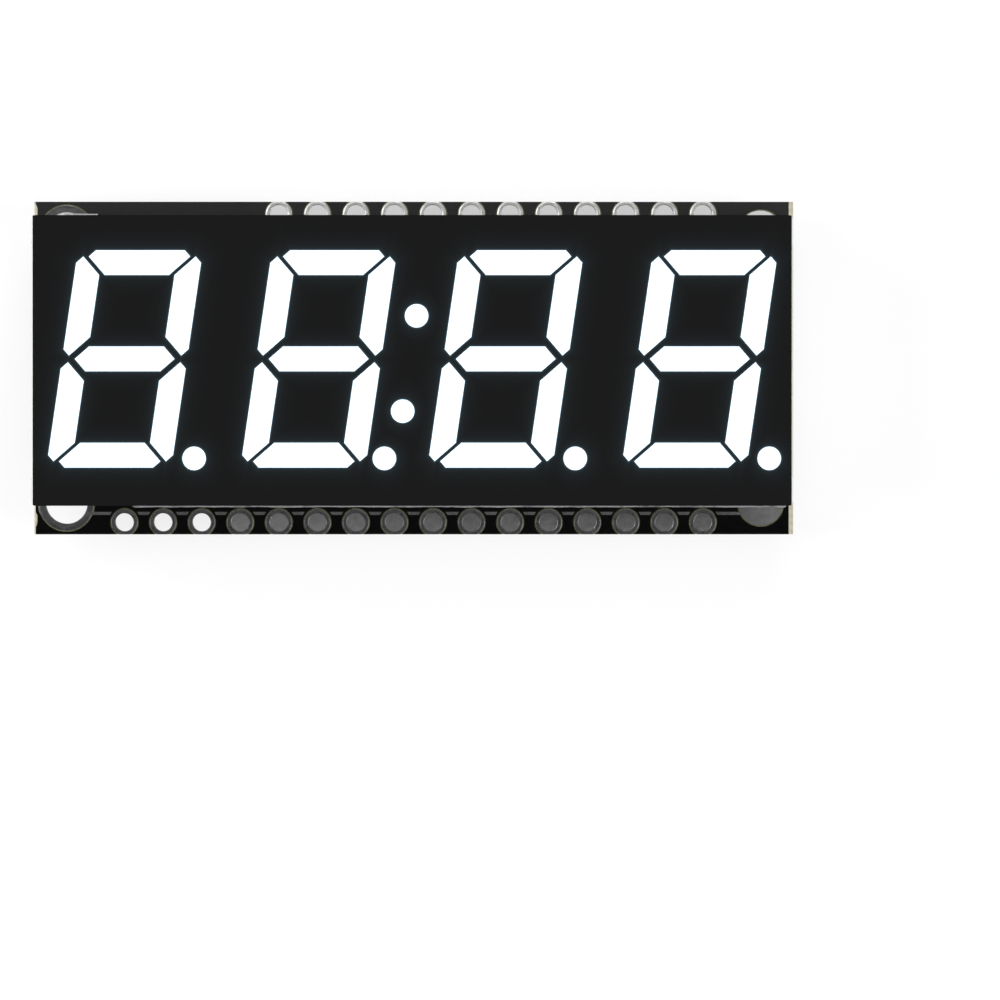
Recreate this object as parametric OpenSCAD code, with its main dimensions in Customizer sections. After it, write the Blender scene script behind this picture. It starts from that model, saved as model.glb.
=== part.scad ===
// Four digit seven segment display module: a driver board with the display soldered on its front.
// It lies on its back, on the flat top of the driver chip. The origin is the middle of that face,
// X runs along the board, Y points to the row of twelve header holes, Z points out of the digits.

/* [Board] */
// Length of the laminate
board_l = 50; // [49.8:0.1:54]
// Width of the laminate
board_w = 21.9; // [21.8:0.1:24]
// Thickness of the finished board, with both masks
board_t = 1.6; // [1:0.1:2.4]
// Width of the bare scored slope at each short end
score_w = 0.3; // [0.1:0.05:0.4]
// Width of that slope on the front at the left hand end, where the score ran shallow
shallow_score_w = 0.1; // [0.05:0.05:0.3]
// Thickness of the snapped web between the two score cuts
score_web = 0.6; // [0.3:0.1:0.8]
// Thickness of the solder mask, and of the copper that lies level with it
mask_t = 0.05; // [0.03:0.01:0.1]
// Bare laminate left between a pad or a plain hole and the mask round it
mask_gap = 0.07; // [0.02:0.01:0.1]
// Height of the white print
print_t = 0.03; // [0.02:0.01:0.05]
// Distance from the driver chip's middle, where the parts are counted from, to the right hand edge
parts_edge = 25; // [24.8:0.1:25.2]

/* [Plated holes] */
// Distance from one hole to the next in a row
pitch = 2.54; // [2.5:0.01:2.58]
// Distance from a row of header holes to the board's long edge
header_edge = 0.79; // [0.75:0.01:0.85]
// Distance from the long row's end holes to the board's short edges
row_end = 5.95; // [5.7:0.05:6.5]
// Holes that the short row lacks at its left hand end
short_row_lack = 4; // [3:1:6]
// Finished bore of a header hole
header_bore = 1.2; // [1:0.05:1.3]
// Diameter of the ring round a header hole
header_ring = 1.75; // [1.6:0.05:1.8]
// Thickness of the copper barrel inside a plated hole
barrel_t = 0.05; // [0.03:0.01:0.08]

/* [Mounting holes] */
// Distance from the mounting holes to the board's short edges
mount_edge_x = 2.14; // [2.14:0.01:2.3]
// Distance from the mounting holes to the board's long edges
mount_edge_y = 2.06; // [1.95:0.01:2.3]
// Bore of the two plated holes
plated_bore = 2.75; // [2.5:0.05:3]
// Diameter of the ring round a plated hole
plated_ring = 3.66; // [3.4:0.02:3.68]
// Bore of the two plain holes
plain_bore = 3; // [2.5:0.05:3.2]

/* [Display] */
// Length of the housing
display_l = 50.2; // [49.9:0.1:51]
// Width of the housing
display_w = 19; // [18.7:0.1:19.1]
// Height of the housing above the board
display_h = 8; // [7:0.1:10]
// Offset of the housing along the board
display_x = -0.1; // [-0.2:0.05:0.1]
// Offset of the housing across the board, towards the short row
display_y = 0.5; // [0.3:0.05:0.6]
// Thickness of the housing's side walls
housing_wall = 0.5; // [0.4:0.05:0.55]
// Amount that each short side leans in, from the board up to the face
end_draft = 0.3; // [0.2:0.05:0.4]
// Radius of the housing's upright corners
corner_r = 0.5; // [0.3:0.05:0.8]
// Depth of the shallow step in each short side of the housing
end_step = 0.15; // [0.05:0.05:0.4]
// Length of the block at each end of that step
end_block = 1.8; // [1:0.1:3]
// Thickness of the black coat on the face
coat_t = 0.05; // [0.03:0.01:0.1]
// Depth of the light wells
well_depth = 5; // [4:0.1:5.5]
// Depth of the upright lip at a well's mouth
well_lip = 1; // [0.5:0.1:2]
// Thickness of the carrier board behind the wells
carrier_t = 0.8; // [0.6:0.1:1]
// Clearance between the carrier board and the housing
carrier_gap = 0.1; // [0.05:0.05:0.3]
// Depth of the back resin below the rim
potting_recess = 0.5; // [0.4:0.05:0.7]
// Side of a lamp die
die_w = 0.4; // [0.2:0.05:0.5]
// Height of a lamp die
die_h = 0.2; // [0.1:0.05:0.3]

/* [Digits] */
// Height of a digit
digit_h = 14.2; // [13.8:0.1:14.6]
// Width of a digit, before it leans
digit_w = 8.16; // [7.8:0.02:8.4]
// Lean of the digits, in degrees
digit_lean = 8.3; // [0:0.1:10]
// Distance between the digits of a pair
digit_pitch = 12.68; // [12.4:0.02:13]
// Distance between the second and the third digit
middle_pitch = 12.22; // [12.1:0.02:12.8]
// Offset of the digits across the face
digit_y = 0.1; // [-0.2:0.05:0.2]
// Width of a segment bar
bar_w = 1.62; // [1.4:0.02:1.8]
// Small chamfer on a bar's outer corners
bar_chamfer = 0.41; // [0.2:0.01:0.6]
// Gap at the corners of a digit
corner_gap = 0.36; // [0.2:0.02:0.6]
// Gap between the side bars and the middle bar
middle_gap = 0.63; // [0.3:0.01:0.8]
// Gap between the tips of an upper and a lower side bar
tip_gap = 0.44; // [0.2:0.02:0.8]
// Diameter of the dots
dot_d = 1.54; // [1.2:0.02:1.7]
// Distance of a decimal point from its digit's middle, along the face
point_x = 4.54; // [4.3:0.02:4.8]
// Distance of a decimal point below its digit's middle
point_y = 6.5; // [6:0.05:6.6]
// How much nearer the second digit's point stands, to leave room for the colon
middle_point_shift = 0.25; // [0:0.05:0.3]
// Distance between the colon dots, across the face
colon_span = 6.23; // [5:0.01:7]
// Offset of the colon's middle along the face
colon_x = -0.17; // [-0.3:0.01:0]
// Offset of the colon's middle across the face
colon_y = -0.2; // [-0.5:0.05:0.2]

/* [Display pins] */
// Distance between the two rows of pins
pin_span = 15.24; // [14.9:0.02:15.4]
// Pins in a row
pins_per_row = 7; // [5:1:7]
// Diameter of a pin
pin_d = 0.5; // [0.4:0.05:0.55]
// Finished bore of a pin's hole
pin_bore = 0.9; // [0.7:0.05:1]
// Diameter of the ring round a pin's hole
pin_ring = 1.9; // [1.6:0.05:2]
// Height of the solder dome on the back
dome_h = 0.95; // [0.6:0.05:1.1]
// Length of pin left beyond the dome
pin_tip = 0.15; // [0.05:0.05:0.3]
// Height of the solder fillet on the front
front_fillet_h = 0.25; // [0.1:0.05:0.3]

/* [Driver chip] */
// Length of the chip's body
chip_l = 17.9; // [17.7:0.05:18]
// Width of the chip's body
chip_w = 7.5; // [7.3:0.05:7.6]
// Height of the chip above the board
chip_h = 2.5; // [2.3:0.05:2.8]
// Gap between the chip's body and the board
chip_standoff = 0.15; // [0.1:0.05:0.3]
// Slope of the body's sides, in degrees from upright
chip_draft = 8; // [4:1:12]
// Width of the bevel along each long edge of the top
chip_bevel = 0.45; // [0.2:0.05:0.6]
// Drop of that bevel
chip_bevel_h = 0.3; // [0.1:0.05:0.4]
// Diameter of the dimple that marks the first lead
dimple_d = 1.13; // [0.8:0.01:1.3]
// Depth of the dimple
dimple_depth = 0.12; // [0.05:0.01:0.2]
// Leads along each side
leads_per_side = 14; // [10:1:14]
// Distance from one lead to the next
lead_pitch = 1.27; // [1.24:0.01:1.28]
// Width of a lead
lead_w = 0.41; // [0.3:0.01:0.5]
// Thickness of a lead
lead_t = 0.25; // [0.2:0.01:0.3]
// Height of a lead's shoulder above the board
shoulder_z = 1.3; // [1.2:0.05:1.4]
// Straight length of the shoulder
shoulder_l = 0.2; // [0.1:0.05:0.3]
// Inner radius of a lead's bends
bend_r = 0.15; // [0.1:0.01:0.2]
// Steepness of the slope between the bends, in degrees
lead_slope = 80; // [70:1:85]
// Distance over the tips of the leads
lead_span = 10.3; // [10.2:0.05:10.6]
// Width of a pad under a lead
lead_pad_w = 0.66; // [0.55:0.01:0.75]
// Distance over the outer ends of the pads
lead_pad_span = 11.8; // [11.6:0.05:12]
// Length of a pad under a lead
lead_pad_l = 1.65; // [1.5:0.05:1.7]

/* [Resistors] */
// Length of a resistor
resistor_l = 2; // [1.9:0.05:2.1]
// Width of a resistor
resistor_w = 1.25; // [1.1:0.05:1.3]
// Height of a resistor
resistor_h = 0.5; // [0.4:0.05:0.6]
// Length of a resistor's terminals
resistor_cap = 0.4; // [0.25:0.05:0.5]
// Thickness of a terminal
cap_t = 0.04; // [0.03:0.01:0.06]
// Thickness of the black coat on a resistor
glaze_t = 0.05; // [0.03:0.01:0.06]
// Distance over the outer ends of a resistor's pads
resistor_pad_span = 3.16; // [3:0.02:3.3]
// Length of one of the pads
resistor_pad_l = 0.95; // [0.8:0.05:1.05]
// Width of one of the pads
resistor_pad_w = 1.5; // [1.4:0.05:1.6]
// Height that the solder climbs on a terminal
fillet_h = 0.34; // [0.2:0.01:0.38]
// Place of the address resistors along the board
address_x = 17.82; // [17.7:0.02:17.9]
// Distance between the address resistors
address_pitch = 2.72; // [2.6:0.02:2.8]
// Place of the bus resistors along the board
bus_x = 11.71; // [11.6:0.01:11.8]
// Place of the bus pair across the board
bus_y = 4.97; // [4.95:0.01:5.1]
// Distance between the bus resistors
bus_pitch = 1.78; // [1.72:0.02:1.9]

/* [Capacitor] */
// Length of the capacitor
capacitor_l = 2; // [1.9:0.05:2.1]
// Width of the capacitor
capacitor_w = 1.25; // [1.1:0.05:1.3]
// Height of the capacitor
capacitor_h = 0.95; // [0.7:0.05:1.2]
// Length of its terminals
capacitor_cap = 0.45; // [0.3:0.05:0.6]
// Distance over the outer ends of its pads
capacitor_pad_span = 3.2; // [3:0.02:3.3]
// Place of the capacitor along the board
capacitor_x = 11.1; // [11:0.05:11.2]
// Place of the capacitor across the board
capacitor_y = -0.35; // [-0.4:0.05:0]

/* [Diode] */
// Length of the diode's body
diode_l = 1.6; // [1.5:0.05:1.7]
// Width of the diode's body
diode_w = 1.35; // [1.2:0.05:1.4]
// Height of the diode above the board
diode_h = 1; // [0.9:0.05:1.1]
// Distance over the tips of its leads
diode_span = 2.6; // [2.5:0.05:2.7]
// Width of its leads
diode_lead_w = 0.35; // [0.25:0.05:0.5]
// Thickness of its leads
diode_lead_t = 0.12; // [0.1:0.01:0.15]
// Height of their shoulders above the board
diode_shoulder_z = 0.45; // [0.4:0.01:0.5]
// Straight length of their shoulders
diode_shoulder_l = 0.05; // [0.02:0.01:0.1]
// Inner radius of their bends
diode_bend_r = 0.06; // [0.04:0.01:0.08]
// Gap between the diode's body and the board
diode_standoff = 0.05; // [0.02:0.01:0.1]
// Bevel round its top
diode_bevel = 0.05; // [0.02:0.01:0.1]
// Width of its pads
diode_pad_w = 0.7; // [0.6:0.05:0.8]
// Distance over the outer ends of its pads
diode_pad_span = 3.2; // [3.1:0.05:3.3]
// Place of the diode along the board
diode_x = 14.2; // [14.1:0.05:14.3]
// Place of the diode across the board
diode_y = -0.1; // [-0.2:0.05:0.1]

/* [Address jumpers] */
// Place of the jumpers along the board
jumper_x = 21.83; // [21.7:0.01:21.9]
// Length of one half of a jumper
jumper_pad_l = 1.17; // [1:0.01:1.2]
// Width of a jumper
jumper_pad_w = 1.5; // [1.3:0.05:1.6]
// Gap between the two halves
jumper_gap = 0.4; // [0.3:0.02:0.5]
// Length of the printed frame
frame_l = 3.65; // [3.6:0.01:3.8]
// Width of the printed frame
frame_w = 2.26; // [2.2:0.01:2.4]
// Outer corner radius of the frame
frame_r = 0.5; // [0.3:0.05:0.8]
// Width of the printed lines of the frames and of the chip's outline
print_line = 0.25; // [0.15:0.01:0.3]
// Width of the thinner printed lines
fine_line = 0.2; // [0.1:0.01:0.25]
// Clearance between the printed line on the front and the housing
line_gap = 0.47; // [0.2:0.01:0.6]

/* [Fiducials] */
// Diameter of a fiducial dot
fiducial_d = 1.05; // [0.8:0.05:1.2]
// Diameter of the bare ring round it
fiducial_window = 2; // [1.6:0.05:2.1]
// Distances of the right hand dot from the edges of its corner
fiducial_right = [4.87, 3.18];
// Distances of the left hand dot from the edges of its corner
fiducial_left = [4.7, 0.65];

/* [Hidden] */
$fn = 48;

// A cutter runs this far past the face that it opens
past = 1;

// Heights, from the chip's top face up to the digits
back_z = chip_h;
front_z = back_z + board_t;
core_back_z = back_z + mask_t;
core_front_z = front_z - mask_t;
face_z = front_z + display_h;
coat_z = face_z - coat_t;
floor_z = face_z - well_depth;
carrier_z = floor_z - carrier_t;
potting_z = front_z + potting_recess;
mask_l = board_l - 2 * score_w;
shallow_x = board_l / 2 - shallow_score_w;
parts_x = board_l / 2 - parts_edge;

// Spans and counts of the holes, from the board's edges
header_span = board_w - 2 * header_edge;
mount_span_x = board_l - 2 * mount_edge_x;
mount_span_y = board_w - 2 * mount_edge_y;
long_row = floor((board_l - 2 * row_end) / pitch + 0.01) + 1;

// Sides of the display and of the space inside its rim
cavity_l = display_l - 2 * end_step - 2 * housing_wall;
cavity_w = display_w - 2 * housing_wall;

// Places of the four digits along the face, from left to right
digit_places = [
    -middle_pitch / 2 - digit_pitch, -middle_pitch / 2,
    middle_pitch / 2, middle_pitch / 2 + digit_pitch
];

// Places of the parts, as pairs of X and Y
address_places = [for (i = [-1:1]) [address_x, i * address_pitch]];
bus_places = [for (side = [-1, 1]) [bus_x, bus_y + side * bus_pitch / 2]];
jumper_places = [for (i = [-1:1]) [jumper_x, i * address_pitch]];
fiducial_places = [
    [board_l / 2 - fiducial_right[0], fiducial_right[1] - board_w / 2],
    [fiducial_left[0] - board_l / 2, board_w / 2 - fiducial_left[1]]
];

// A pad is its middle, its size along X and its size along Y
function lead_x(i) = (i - (leads_per_side - 1) / 2) * lead_pitch;
driver_pads = [
    for (side = [-1, 1], i = [0:leads_per_side - 1])
        [lead_x(i), side * (lead_pad_span - lead_pad_l) / 2, lead_pad_w, lead_pad_l]
];
function end_pads(places, span, length, width) = [
    for (p = places, side = [-1, 1]) [p[0] + side * (span - length) / 2, p[1], length, width]
];
address_pads = end_pads(address_places, resistor_pad_span, resistor_pad_l, resistor_pad_w);
bus_pads = end_pads(bus_places, resistor_pad_span, resistor_pad_l, resistor_pad_w);
diode_pad_l = (diode_pad_span - diode_l) / 2;
diode_pad_list = end_pads([[diode_x, diode_y]], diode_pad_span, diode_pad_l, diode_pad_w);
capacitor_pad_list = [
    for (side = [-1, 1])
        [capacitor_x, capacitor_y + side * (capacitor_pad_span - resistor_pad_l) / 2,
         resistor_pad_w, resistor_pad_l]
];
jumper_pads = end_pads(
    jumper_places, 2 * jumper_pad_l + jumper_gap, jumper_pad_l, jumper_pad_w
);

// Points along an arc from one angle to another
function arc(cx, cy, r, from, to, steps = 6) = [
    for (i = [0:steps])
        let (a = from + (to - from) * i / steps) [cx + r * cos(a), cy + r * sin(a)]
];

// A rectangle with round corners, about the origin
function round_box(l, w, r) = concat(
    arc(l / 2 - r, w / 2 - r, r, 0, 90), arc(r - l / 2, w / 2 - r, r, 90, 180),
    arc(r - l / 2, r - w / 2, r, 180, 270), arc(l / 2 - r, r - w / 2, r, 270, 360)
);

// Stands its children on the board's back, with their Z away from the board
module on_back() {
    translate([parts_x, 0, back_z]) mirror([0, 0, 1]) children();
}

// Repeats its children at each place of a list
module at_each(places) {
    for (p = places) translate([p[0], p[1], 0]) children();
}

// The places of the plated and plain holes
long_row_places = [for (i = [0:long_row - 1]) [(i - (long_row - 1) / 2) * pitch, -header_span / 2]];
short_row_places = [
    for (i = [short_row_lack:long_row - 1])
        [(i - (long_row - 1) / 2) * pitch, header_span / 2]
];
plated_places = [for (side = [-1, 1]) [-mount_span_x / 2, side * mount_span_y / 2]];
plain_places = [for (side = [-1, 1]) [mount_span_x / 2, side * mount_span_y / 2]];
function pin_row(side) = [
    for (i = [0:pins_per_row - 1]) [(i - (pins_per_row - 1) / 2) * pitch, side * pin_span / 2]
];
pin_places = concat(pin_row(-1), pin_row(1));

// A bore through the whole board
module drill(places, d) {
    at_each(places) translate([0, 0, back_z - past]) cylinder(d = d, h = board_t + 2 * past);
}

module circuit_board() {
    side = [
        [mask_l / 2, core_back_z], [board_l / 2, (back_z + front_z - score_web) / 2],
        [board_l / 2, (back_z + front_z + score_web) / 2], [mask_l / 2, core_front_z]
    ];
    mirrored = [[-shallow_x, core_front_z], for (i = [2:-1:0]) [-side[i][0], side[i][1]]];
    color("wheat") difference() {
        rotate([90, 0, 0]) linear_extrude(board_w, center = true) polygon(concat(side, mirrored));
        drill(concat(long_row_places, short_row_places), header_bore + 2 * barrel_t);
        drill(plated_places, plated_bore + 2 * barrel_t);
        drill(plain_places, plain_bore);
        drill(pin_places, pin_bore + 2 * barrel_t);
    }
}

// A mask on one face, from height z and from the given left edge, with its round windows cut out
module mask_sheet(z, left) {
    difference() {
        translate([-left, -board_w / 2, z]) cube([left + mask_l / 2, board_w, mask_t]);
        drill(concat(long_row_places, short_row_places), header_ring + 2 * mask_gap);
        drill(plated_places, plated_ring + 2 * mask_gap);
        drill(plain_places, plain_bore + 2 * mask_gap);
        drill(pin_places, pin_ring + 2 * mask_gap);
        children();
    }
}

// Square windows round a list of pads on the back
module windows(pads) {
    on_back() for (p = pads) translate([p[0], p[1], 0])
        cube([p[2] + 2 * mask_gap, p[3] + 2 * mask_gap, 2 * past], center = true);
}

module back_solder_mask() {
    color("#1c1c1c") mask_sheet(back_z, mask_l / 2) {
        windows(concat(driver_pads, address_pads, bus_pads, diode_pad_list));
        windows(concat(capacitor_pad_list, jumper_pads));
        drill(fiducial_places, fiducial_window);
    }
}

module front_solder_mask() {
    color("#1c1c1c") mask_sheet(core_front_z, shallow_x);
}

// A plated hole: a ring on each face and the barrel between them, cut level with the board's edge
module plated_holes(places, bore, ring) {
    intersection() {
        at_each(places) difference() {
            union() {
                translate([0, 0, back_z]) cylinder(d = ring, h = mask_t);
                translate([0, 0, back_z]) cylinder(d = bore + 2 * barrel_t, h = board_t);
                translate([0, 0, core_front_z]) cylinder(d = ring, h = mask_t);
            }
            translate([0, 0, back_z - past]) cylinder(d = bore, h = board_t + 2 * past);
        }
        translate([-board_l / 2, -board_w / 2, back_z]) cube([board_l, board_w, board_t]);
    }
}

module header_row_16_plating() {
    color("silver") plated_holes(long_row_places, header_bore, header_ring);
}

module header_row_12_plating() {
    color("silver") plated_holes(short_row_places, header_bore, header_ring);
}

module mounting_hole_plating() {
    color("silver") plated_holes(plated_places, plated_bore, plated_ring);
}

module display_pin_plating() {
    color("silver") plated_holes(pin_places, pin_bore, pin_ring);
}

// Flat pads in the windows of the back mask
module flat_pads(pads) {
    color("silver") on_back() for (p = pads)
        translate([p[0] - p[2] / 2, p[1] - p[3] / 2, -mask_t]) cube([p[2], p[3], mask_t]);
}

module driver_chip_pads() {
    flat_pads(driver_pads);
}

module capacitor_pads() {
    flat_pads(capacitor_pad_list);
}

module diode_pads() {
    flat_pads(diode_pad_list);
}

module address_resistor_pads() {
    flat_pads(address_pads);
}

module bus_resistor_pads() {
    flat_pads(bus_pads);
}

module address_jumper_pads() {
    flat_pads(jumper_pads);
}

module fiducial_dots() {
    color("silver") at_each(fiducial_places) translate([0, 0, back_z])
        cylinder(d = fiducial_d, h = mask_t);
}

// The printed line round the driver chip, just outside its body
module chip_outline_print() {
    color("white") on_back() linear_extrude(print_t) difference() {
        square([chip_l + 2 * print_line, chip_w + 2 * print_line], center = true);
        square([chip_l, chip_w], center = true);
    }
}

module jumper_frame_print() {
    color("white") on_back() at_each(jumper_places) linear_extrude(print_t) difference() {
        polygon(round_box(frame_l, frame_w, frame_r));
        polygon(round_box(frame_l - 2 * print_line, frame_w - 2 * print_line, frame_r - print_line));
    }
}

// Two bars beside the diode
module diode_print() {
    color("white") on_back() for (side = [-1, 1])
        translate([diode_x, diode_y + side * (diode_w + fine_line) / 2, 0])
            linear_extrude(print_t) square([diode_l + fine_line, fine_line], center = true);
}

// A printed line on the front, beside the housing and broken round each hole of the long row
module header_line_print() {
    line_l = (long_row + 1) * pitch;
    line_y = display_y - display_w / 2 - line_gap - fine_line;
    color("gainsboro") difference() {
        translate([-line_l / 2, line_y, front_z]) cube([line_l, fine_line, print_t]);
        at_each(long_row_places) translate([0, 0, front_z - past])
            cylinder(d = header_ring + 2 * fine_line, h = 2 * past);
    }
}

// The seven bars of a digit, as outlines about its middle, before they lean.
// The top bar and the right upper bar are drawn, and the others are mirrored from them.
half_h = digit_h / 2;
half_w = digit_w / 2;
top_bar = [
    [half_w - corner_gap - 2 * bar_chamfer, half_h],
    [half_w - corner_gap - bar_chamfer, half_h - bar_chamfer],
    [half_w - corner_gap - bar_w, half_h - bar_w]
];
side_bar = [
    [half_w - bar_chamfer, half_h - bar_chamfer], [half_w, half_h - 2 * bar_chamfer],
    [half_w, tip_gap / 2 + bar_chamfer], [half_w - bar_chamfer, tip_gap / 2],
    [half_w - bar_w, tip_gap / 2 + bar_w - bar_chamfer], [half_w - bar_w, half_h - bar_w]
];
middle_tip = half_w - bar_chamfer + tip_gap / 2 - middle_gap;
middle_bar = [
    [middle_tip - bar_w / 2, bar_w / 2], [middle_tip, 0], [middle_tip - bar_w / 2, -bar_w / 2]
];
function flip_x(points) = [for (i = [len(points) - 1:-1:0]) [-points[i][0], points[i][1]]];
function flip_y(points) = [for (i = [len(points) - 1:-1:0]) [points[i][0], -points[i][1]]];
level_bars = [
    concat(top_bar, flip_x(top_bar)), concat(middle_bar, flip_x(middle_bar)),
    flip_y(concat(top_bar, flip_x(top_bar)))
];
upright_bars = [side_bar, flip_x(side_bar), flip_y(side_bar), flip_y(flip_x(side_bar))];

// A point moved sideways by the lean of the digits
lean = tan(digit_lean);
function leaned(p) = [p[0] + lean * p[1], p[1]];

// Middle height of the level bars and of the upright bars
level_y = [half_h - bar_w / 2, 0, bar_w / 2 - half_h];
upright_y = (half_h - bar_chamfer + tip_gap / 2) / 2;
upright_middles = [
    [half_w - bar_w / 2, upright_y], [bar_w / 2 - half_w, upright_y],
    [half_w - bar_w / 2, -upright_y], [bar_w / 2 - half_w, -upright_y]
];

// The closing V of a well's long walls, along X: as wide as a bar where the upright lip begins
module well_wedge() {
    lip_start = well_depth - well_lip;
    rotate([90, 0, 90]) linear_extrude(digit_h, center = true)
        polygon([[-die_w, 0], [die_w, 0], [bar_w / 2, lip_start], [bar_w, lip_start],
                 [bar_w, well_depth], [-bar_w, well_depth], [-bar_w, lip_start],
                 [-bar_w / 2, lip_start]]);
}

// One digit's seven wells, or the resin that fills them, from the well floor to the height top_z
module digit_wells(top_z) {
    for (i = [0:2]) intersection() {
        translate([0, 0, floor_z]) linear_extrude(top_z - floor_z)
            polygon([for (p = level_bars[i]) leaned(p)]);
        translate([0, level_y[i], floor_z]) well_wedge();
    }
    for (i = [0:3]) intersection() {
        translate([0, 0, floor_z]) linear_extrude(top_z - floor_z)
            polygon([for (p = upright_bars[i]) leaned(p)]);
        translate([leaned(upright_middles[i])[0], upright_middles[i][1], floor_z])
            rotate(90 - digit_lean) well_wedge();
    }
}

// Places of a digit's lamp dies, one behind the middle of each bar
function digit_dies(i) = concat(
    [for (y = level_y) [digit_places[i] + lean * y, digit_y + y]],
    [for (m = upright_middles) [digit_places[i] + leaned(m)[0], digit_y + m[1]]]
);

// The decimal points stand right of each digit; the colon leans like the digits
point_places = [
    for (i = [0:3])
        [digit_places[i] + point_x - (i == 1 ? middle_point_shift : 0), digit_y - point_y]
];
colon_places = [
    for (side = [-1, 1])
        let (y = side * colon_span / 2) [colon_x + lean * y, colon_y + y]
];
dot_places = concat(point_places, colon_places);

// A round well that narrows towards its lamp
module dot_well(top_z) {
    lip_z = face_z - well_lip;
    translate([0, 0, floor_z]) cylinder(d1 = 2 * die_w, d2 = dot_d, h = lip_z - floor_z);
    translate([0, 0, lip_z]) cylinder(d = dot_d, h = top_z - lip_z);
}

module on_face() {
    translate([display_x, display_y, 0]) children();
}

// Every well, cut a little past the face
module all_wells() {
    for (i = [0:3]) translate([digit_places[i], digit_y, 0]) digit_wells(face_z);
    at_each(dot_places) dot_well(face_z);
}

// Outline of the housing: long blocks at its corners and a shallow step in its short sides
module housing_outline() {
    difference() {
        polygon(round_box(display_l, display_w, corner_r));
        for (side = [-1, 1]) translate([side * display_l / 2, 0])
            square([2 * end_step, display_w - 2 * end_block], center = true);
    }
}

// The outside of the housing between two heights: the ends lean in, so the step fades out below the face
module housing_block(from, to) {
    face_end = display_l / 2 - end_draft;
    intersection() {
        translate([0, 0, from]) linear_extrude(to - from) housing_outline();
        rotate([90, 0, 0]) linear_extrude(display_w + past, center = true) polygon([
            [-display_l / 2, front_z], [display_l / 2, front_z],
            [face_end, face_z], [-face_end, face_z]
        ]);
    }
}

module display_housing() {
    color("gainsboro") on_face() difference() {
        housing_block(front_z, coat_z);
        translate([-cavity_l / 2, -cavity_w / 2, front_z - past])
            cube([cavity_l, cavity_w, floor_z - front_z + past]);
        all_wells();
    }
}

module face_coat() {
    color("#161616") on_face() difference() {
        housing_block(coat_z, face_z);
        all_wells();
    }
}

// The resin bars of one digit, level with the black coat
module digit_segments(i) {
    color("white") on_face() difference() {
        translate([digit_places[i], digit_y, 0]) digit_wells(face_z);
        dies(digit_dies(i));
    }
}

module digit_1_segments() {
    digit_segments(0);
}

module digit_2_segments() {
    digit_segments(1);
}

module digit_3_segments() {
    digit_segments(2);
}

module digit_4_segments() {
    digit_segments(3);
}

module decimal_points() {
    color("white") on_face() difference() {
        at_each(point_places) dot_well(face_z);
        dies(point_places);
    }
}

module colon_dots() {
    color("white") on_face() difference() {
        at_each(colon_places) dot_well(face_z);
        dies(colon_places);
    }
}

module led_carrier_board() {
    color("khaki") on_face() difference() {
        translate([carrier_gap - cavity_l / 2, carrier_gap - cavity_w / 2, carrier_z])
            cube([cavity_l - 2 * carrier_gap, cavity_w - 2 * carrier_gap, carrier_t]);
        pin_bores();
    }
}

module dies(places) {
    at_each(places) translate([-die_w / 2, -die_w / 2, floor_z]) cube([die_w, die_w, die_h]);
}

module led_dies() {
    color("gold") on_face() {
        for (i = [0:3]) dies(digit_dies(i));
        dies(dot_places);
    }
}

// The pins' own bores, which stay on the board's middle
module pin_bores() {
    translate([-display_x, -display_y, 0]) at_each(pin_places)
        translate([0, 0, back_z]) cylinder(d = pin_d, h = face_z);
}

module back_potting() {
    color("ivory") on_face() difference() {
        translate([-cavity_l / 2, -cavity_w / 2, potting_z])
            cube([cavity_l, cavity_w, carrier_z - potting_z]);
        pin_bores();
    }
}

// Pins run from the front of the carrier board to just past the solder domes
module display_pins(side) {
    tip_z = back_z - dome_h - pin_tip;
    color("silver") at_each(pin_row(side))
        translate([0, 0, tip_z]) cylinder(d = pin_d, h = floor_z - tip_z);
}

module display_pins_front_row() {
    display_pins(-1);
}

module display_pins_rear_row() {
    display_pins(1);
}

// Solder of one pin: a round dome on the back, the filled barrel and a low fillet on the front
module pin_joint() {
    base_r = pin_ring / 2;
    ball_r = (base_r * base_r + dome_h * dome_h) / (2 * dome_h);
    difference() {
        union() {
            intersection() {
                translate([0, 0, back_z - dome_h + ball_r]) sphere(r = ball_r);
                translate([-base_r, -base_r, back_z - dome_h - past])
                    cube([2 * base_r, 2 * base_r, dome_h + past]);
            }
            translate([0, 0, back_z]) cylinder(d = pin_bore, h = board_t);
            translate([0, 0, front_z])
                cylinder(d1 = 0.8 * pin_ring, d2 = 1.2 * pin_d, h = front_fillet_h);
        }
        translate([0, 0, -past]) cylinder(d = pin_d, h = face_z);
    }
}

module display_solder_front_row() {
    color("silver") at_each(pin_row(-1)) pin_joint();
}

module display_solder_rear_row() {
    color("silver") at_each(pin_row(1)) pin_joint();
}

// A moulded body seen from its end: a flat band at the leads, sloped sides and a bevelled top
function body_section(w, bottom, top, band_z, band_t, draft, bevel, bevel_h) = let (
    half = w / 2,
    low = band_z - band_t / 2,
    high = band_z + band_t / 2,
    bottom_half = half - (low - bottom) * tan(draft),
    top_half = half - (top - bevel_h - high) * tan(draft)
) [
    [-bottom_half, bottom], [bottom_half, bottom], [half, low], [half, high],
    [top_half, top - bevel_h], [top_half - bevel, top], [bevel - top_half, top],
    [-top_half, top - bevel_h], [-half, high], [-half, low]
];

// A moulded body: the section along its length cut by the section across it
module moulded_body(l, w, bottom, top, band_z, band_t, draft, bevel, bevel_h) {
    intersection() {
        rotate([90, 0, 90]) linear_extrude(l + past, center = true)
            polygon(body_section(w, bottom, top, band_z, band_t, draft, bevel, bevel_h));
        rotate([90, 0, 0]) linear_extrude(w + past, center = true)
            polygon(body_section(l, bottom, top, band_z, band_t, draft, 0.02, 0.02));
    }
}

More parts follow.
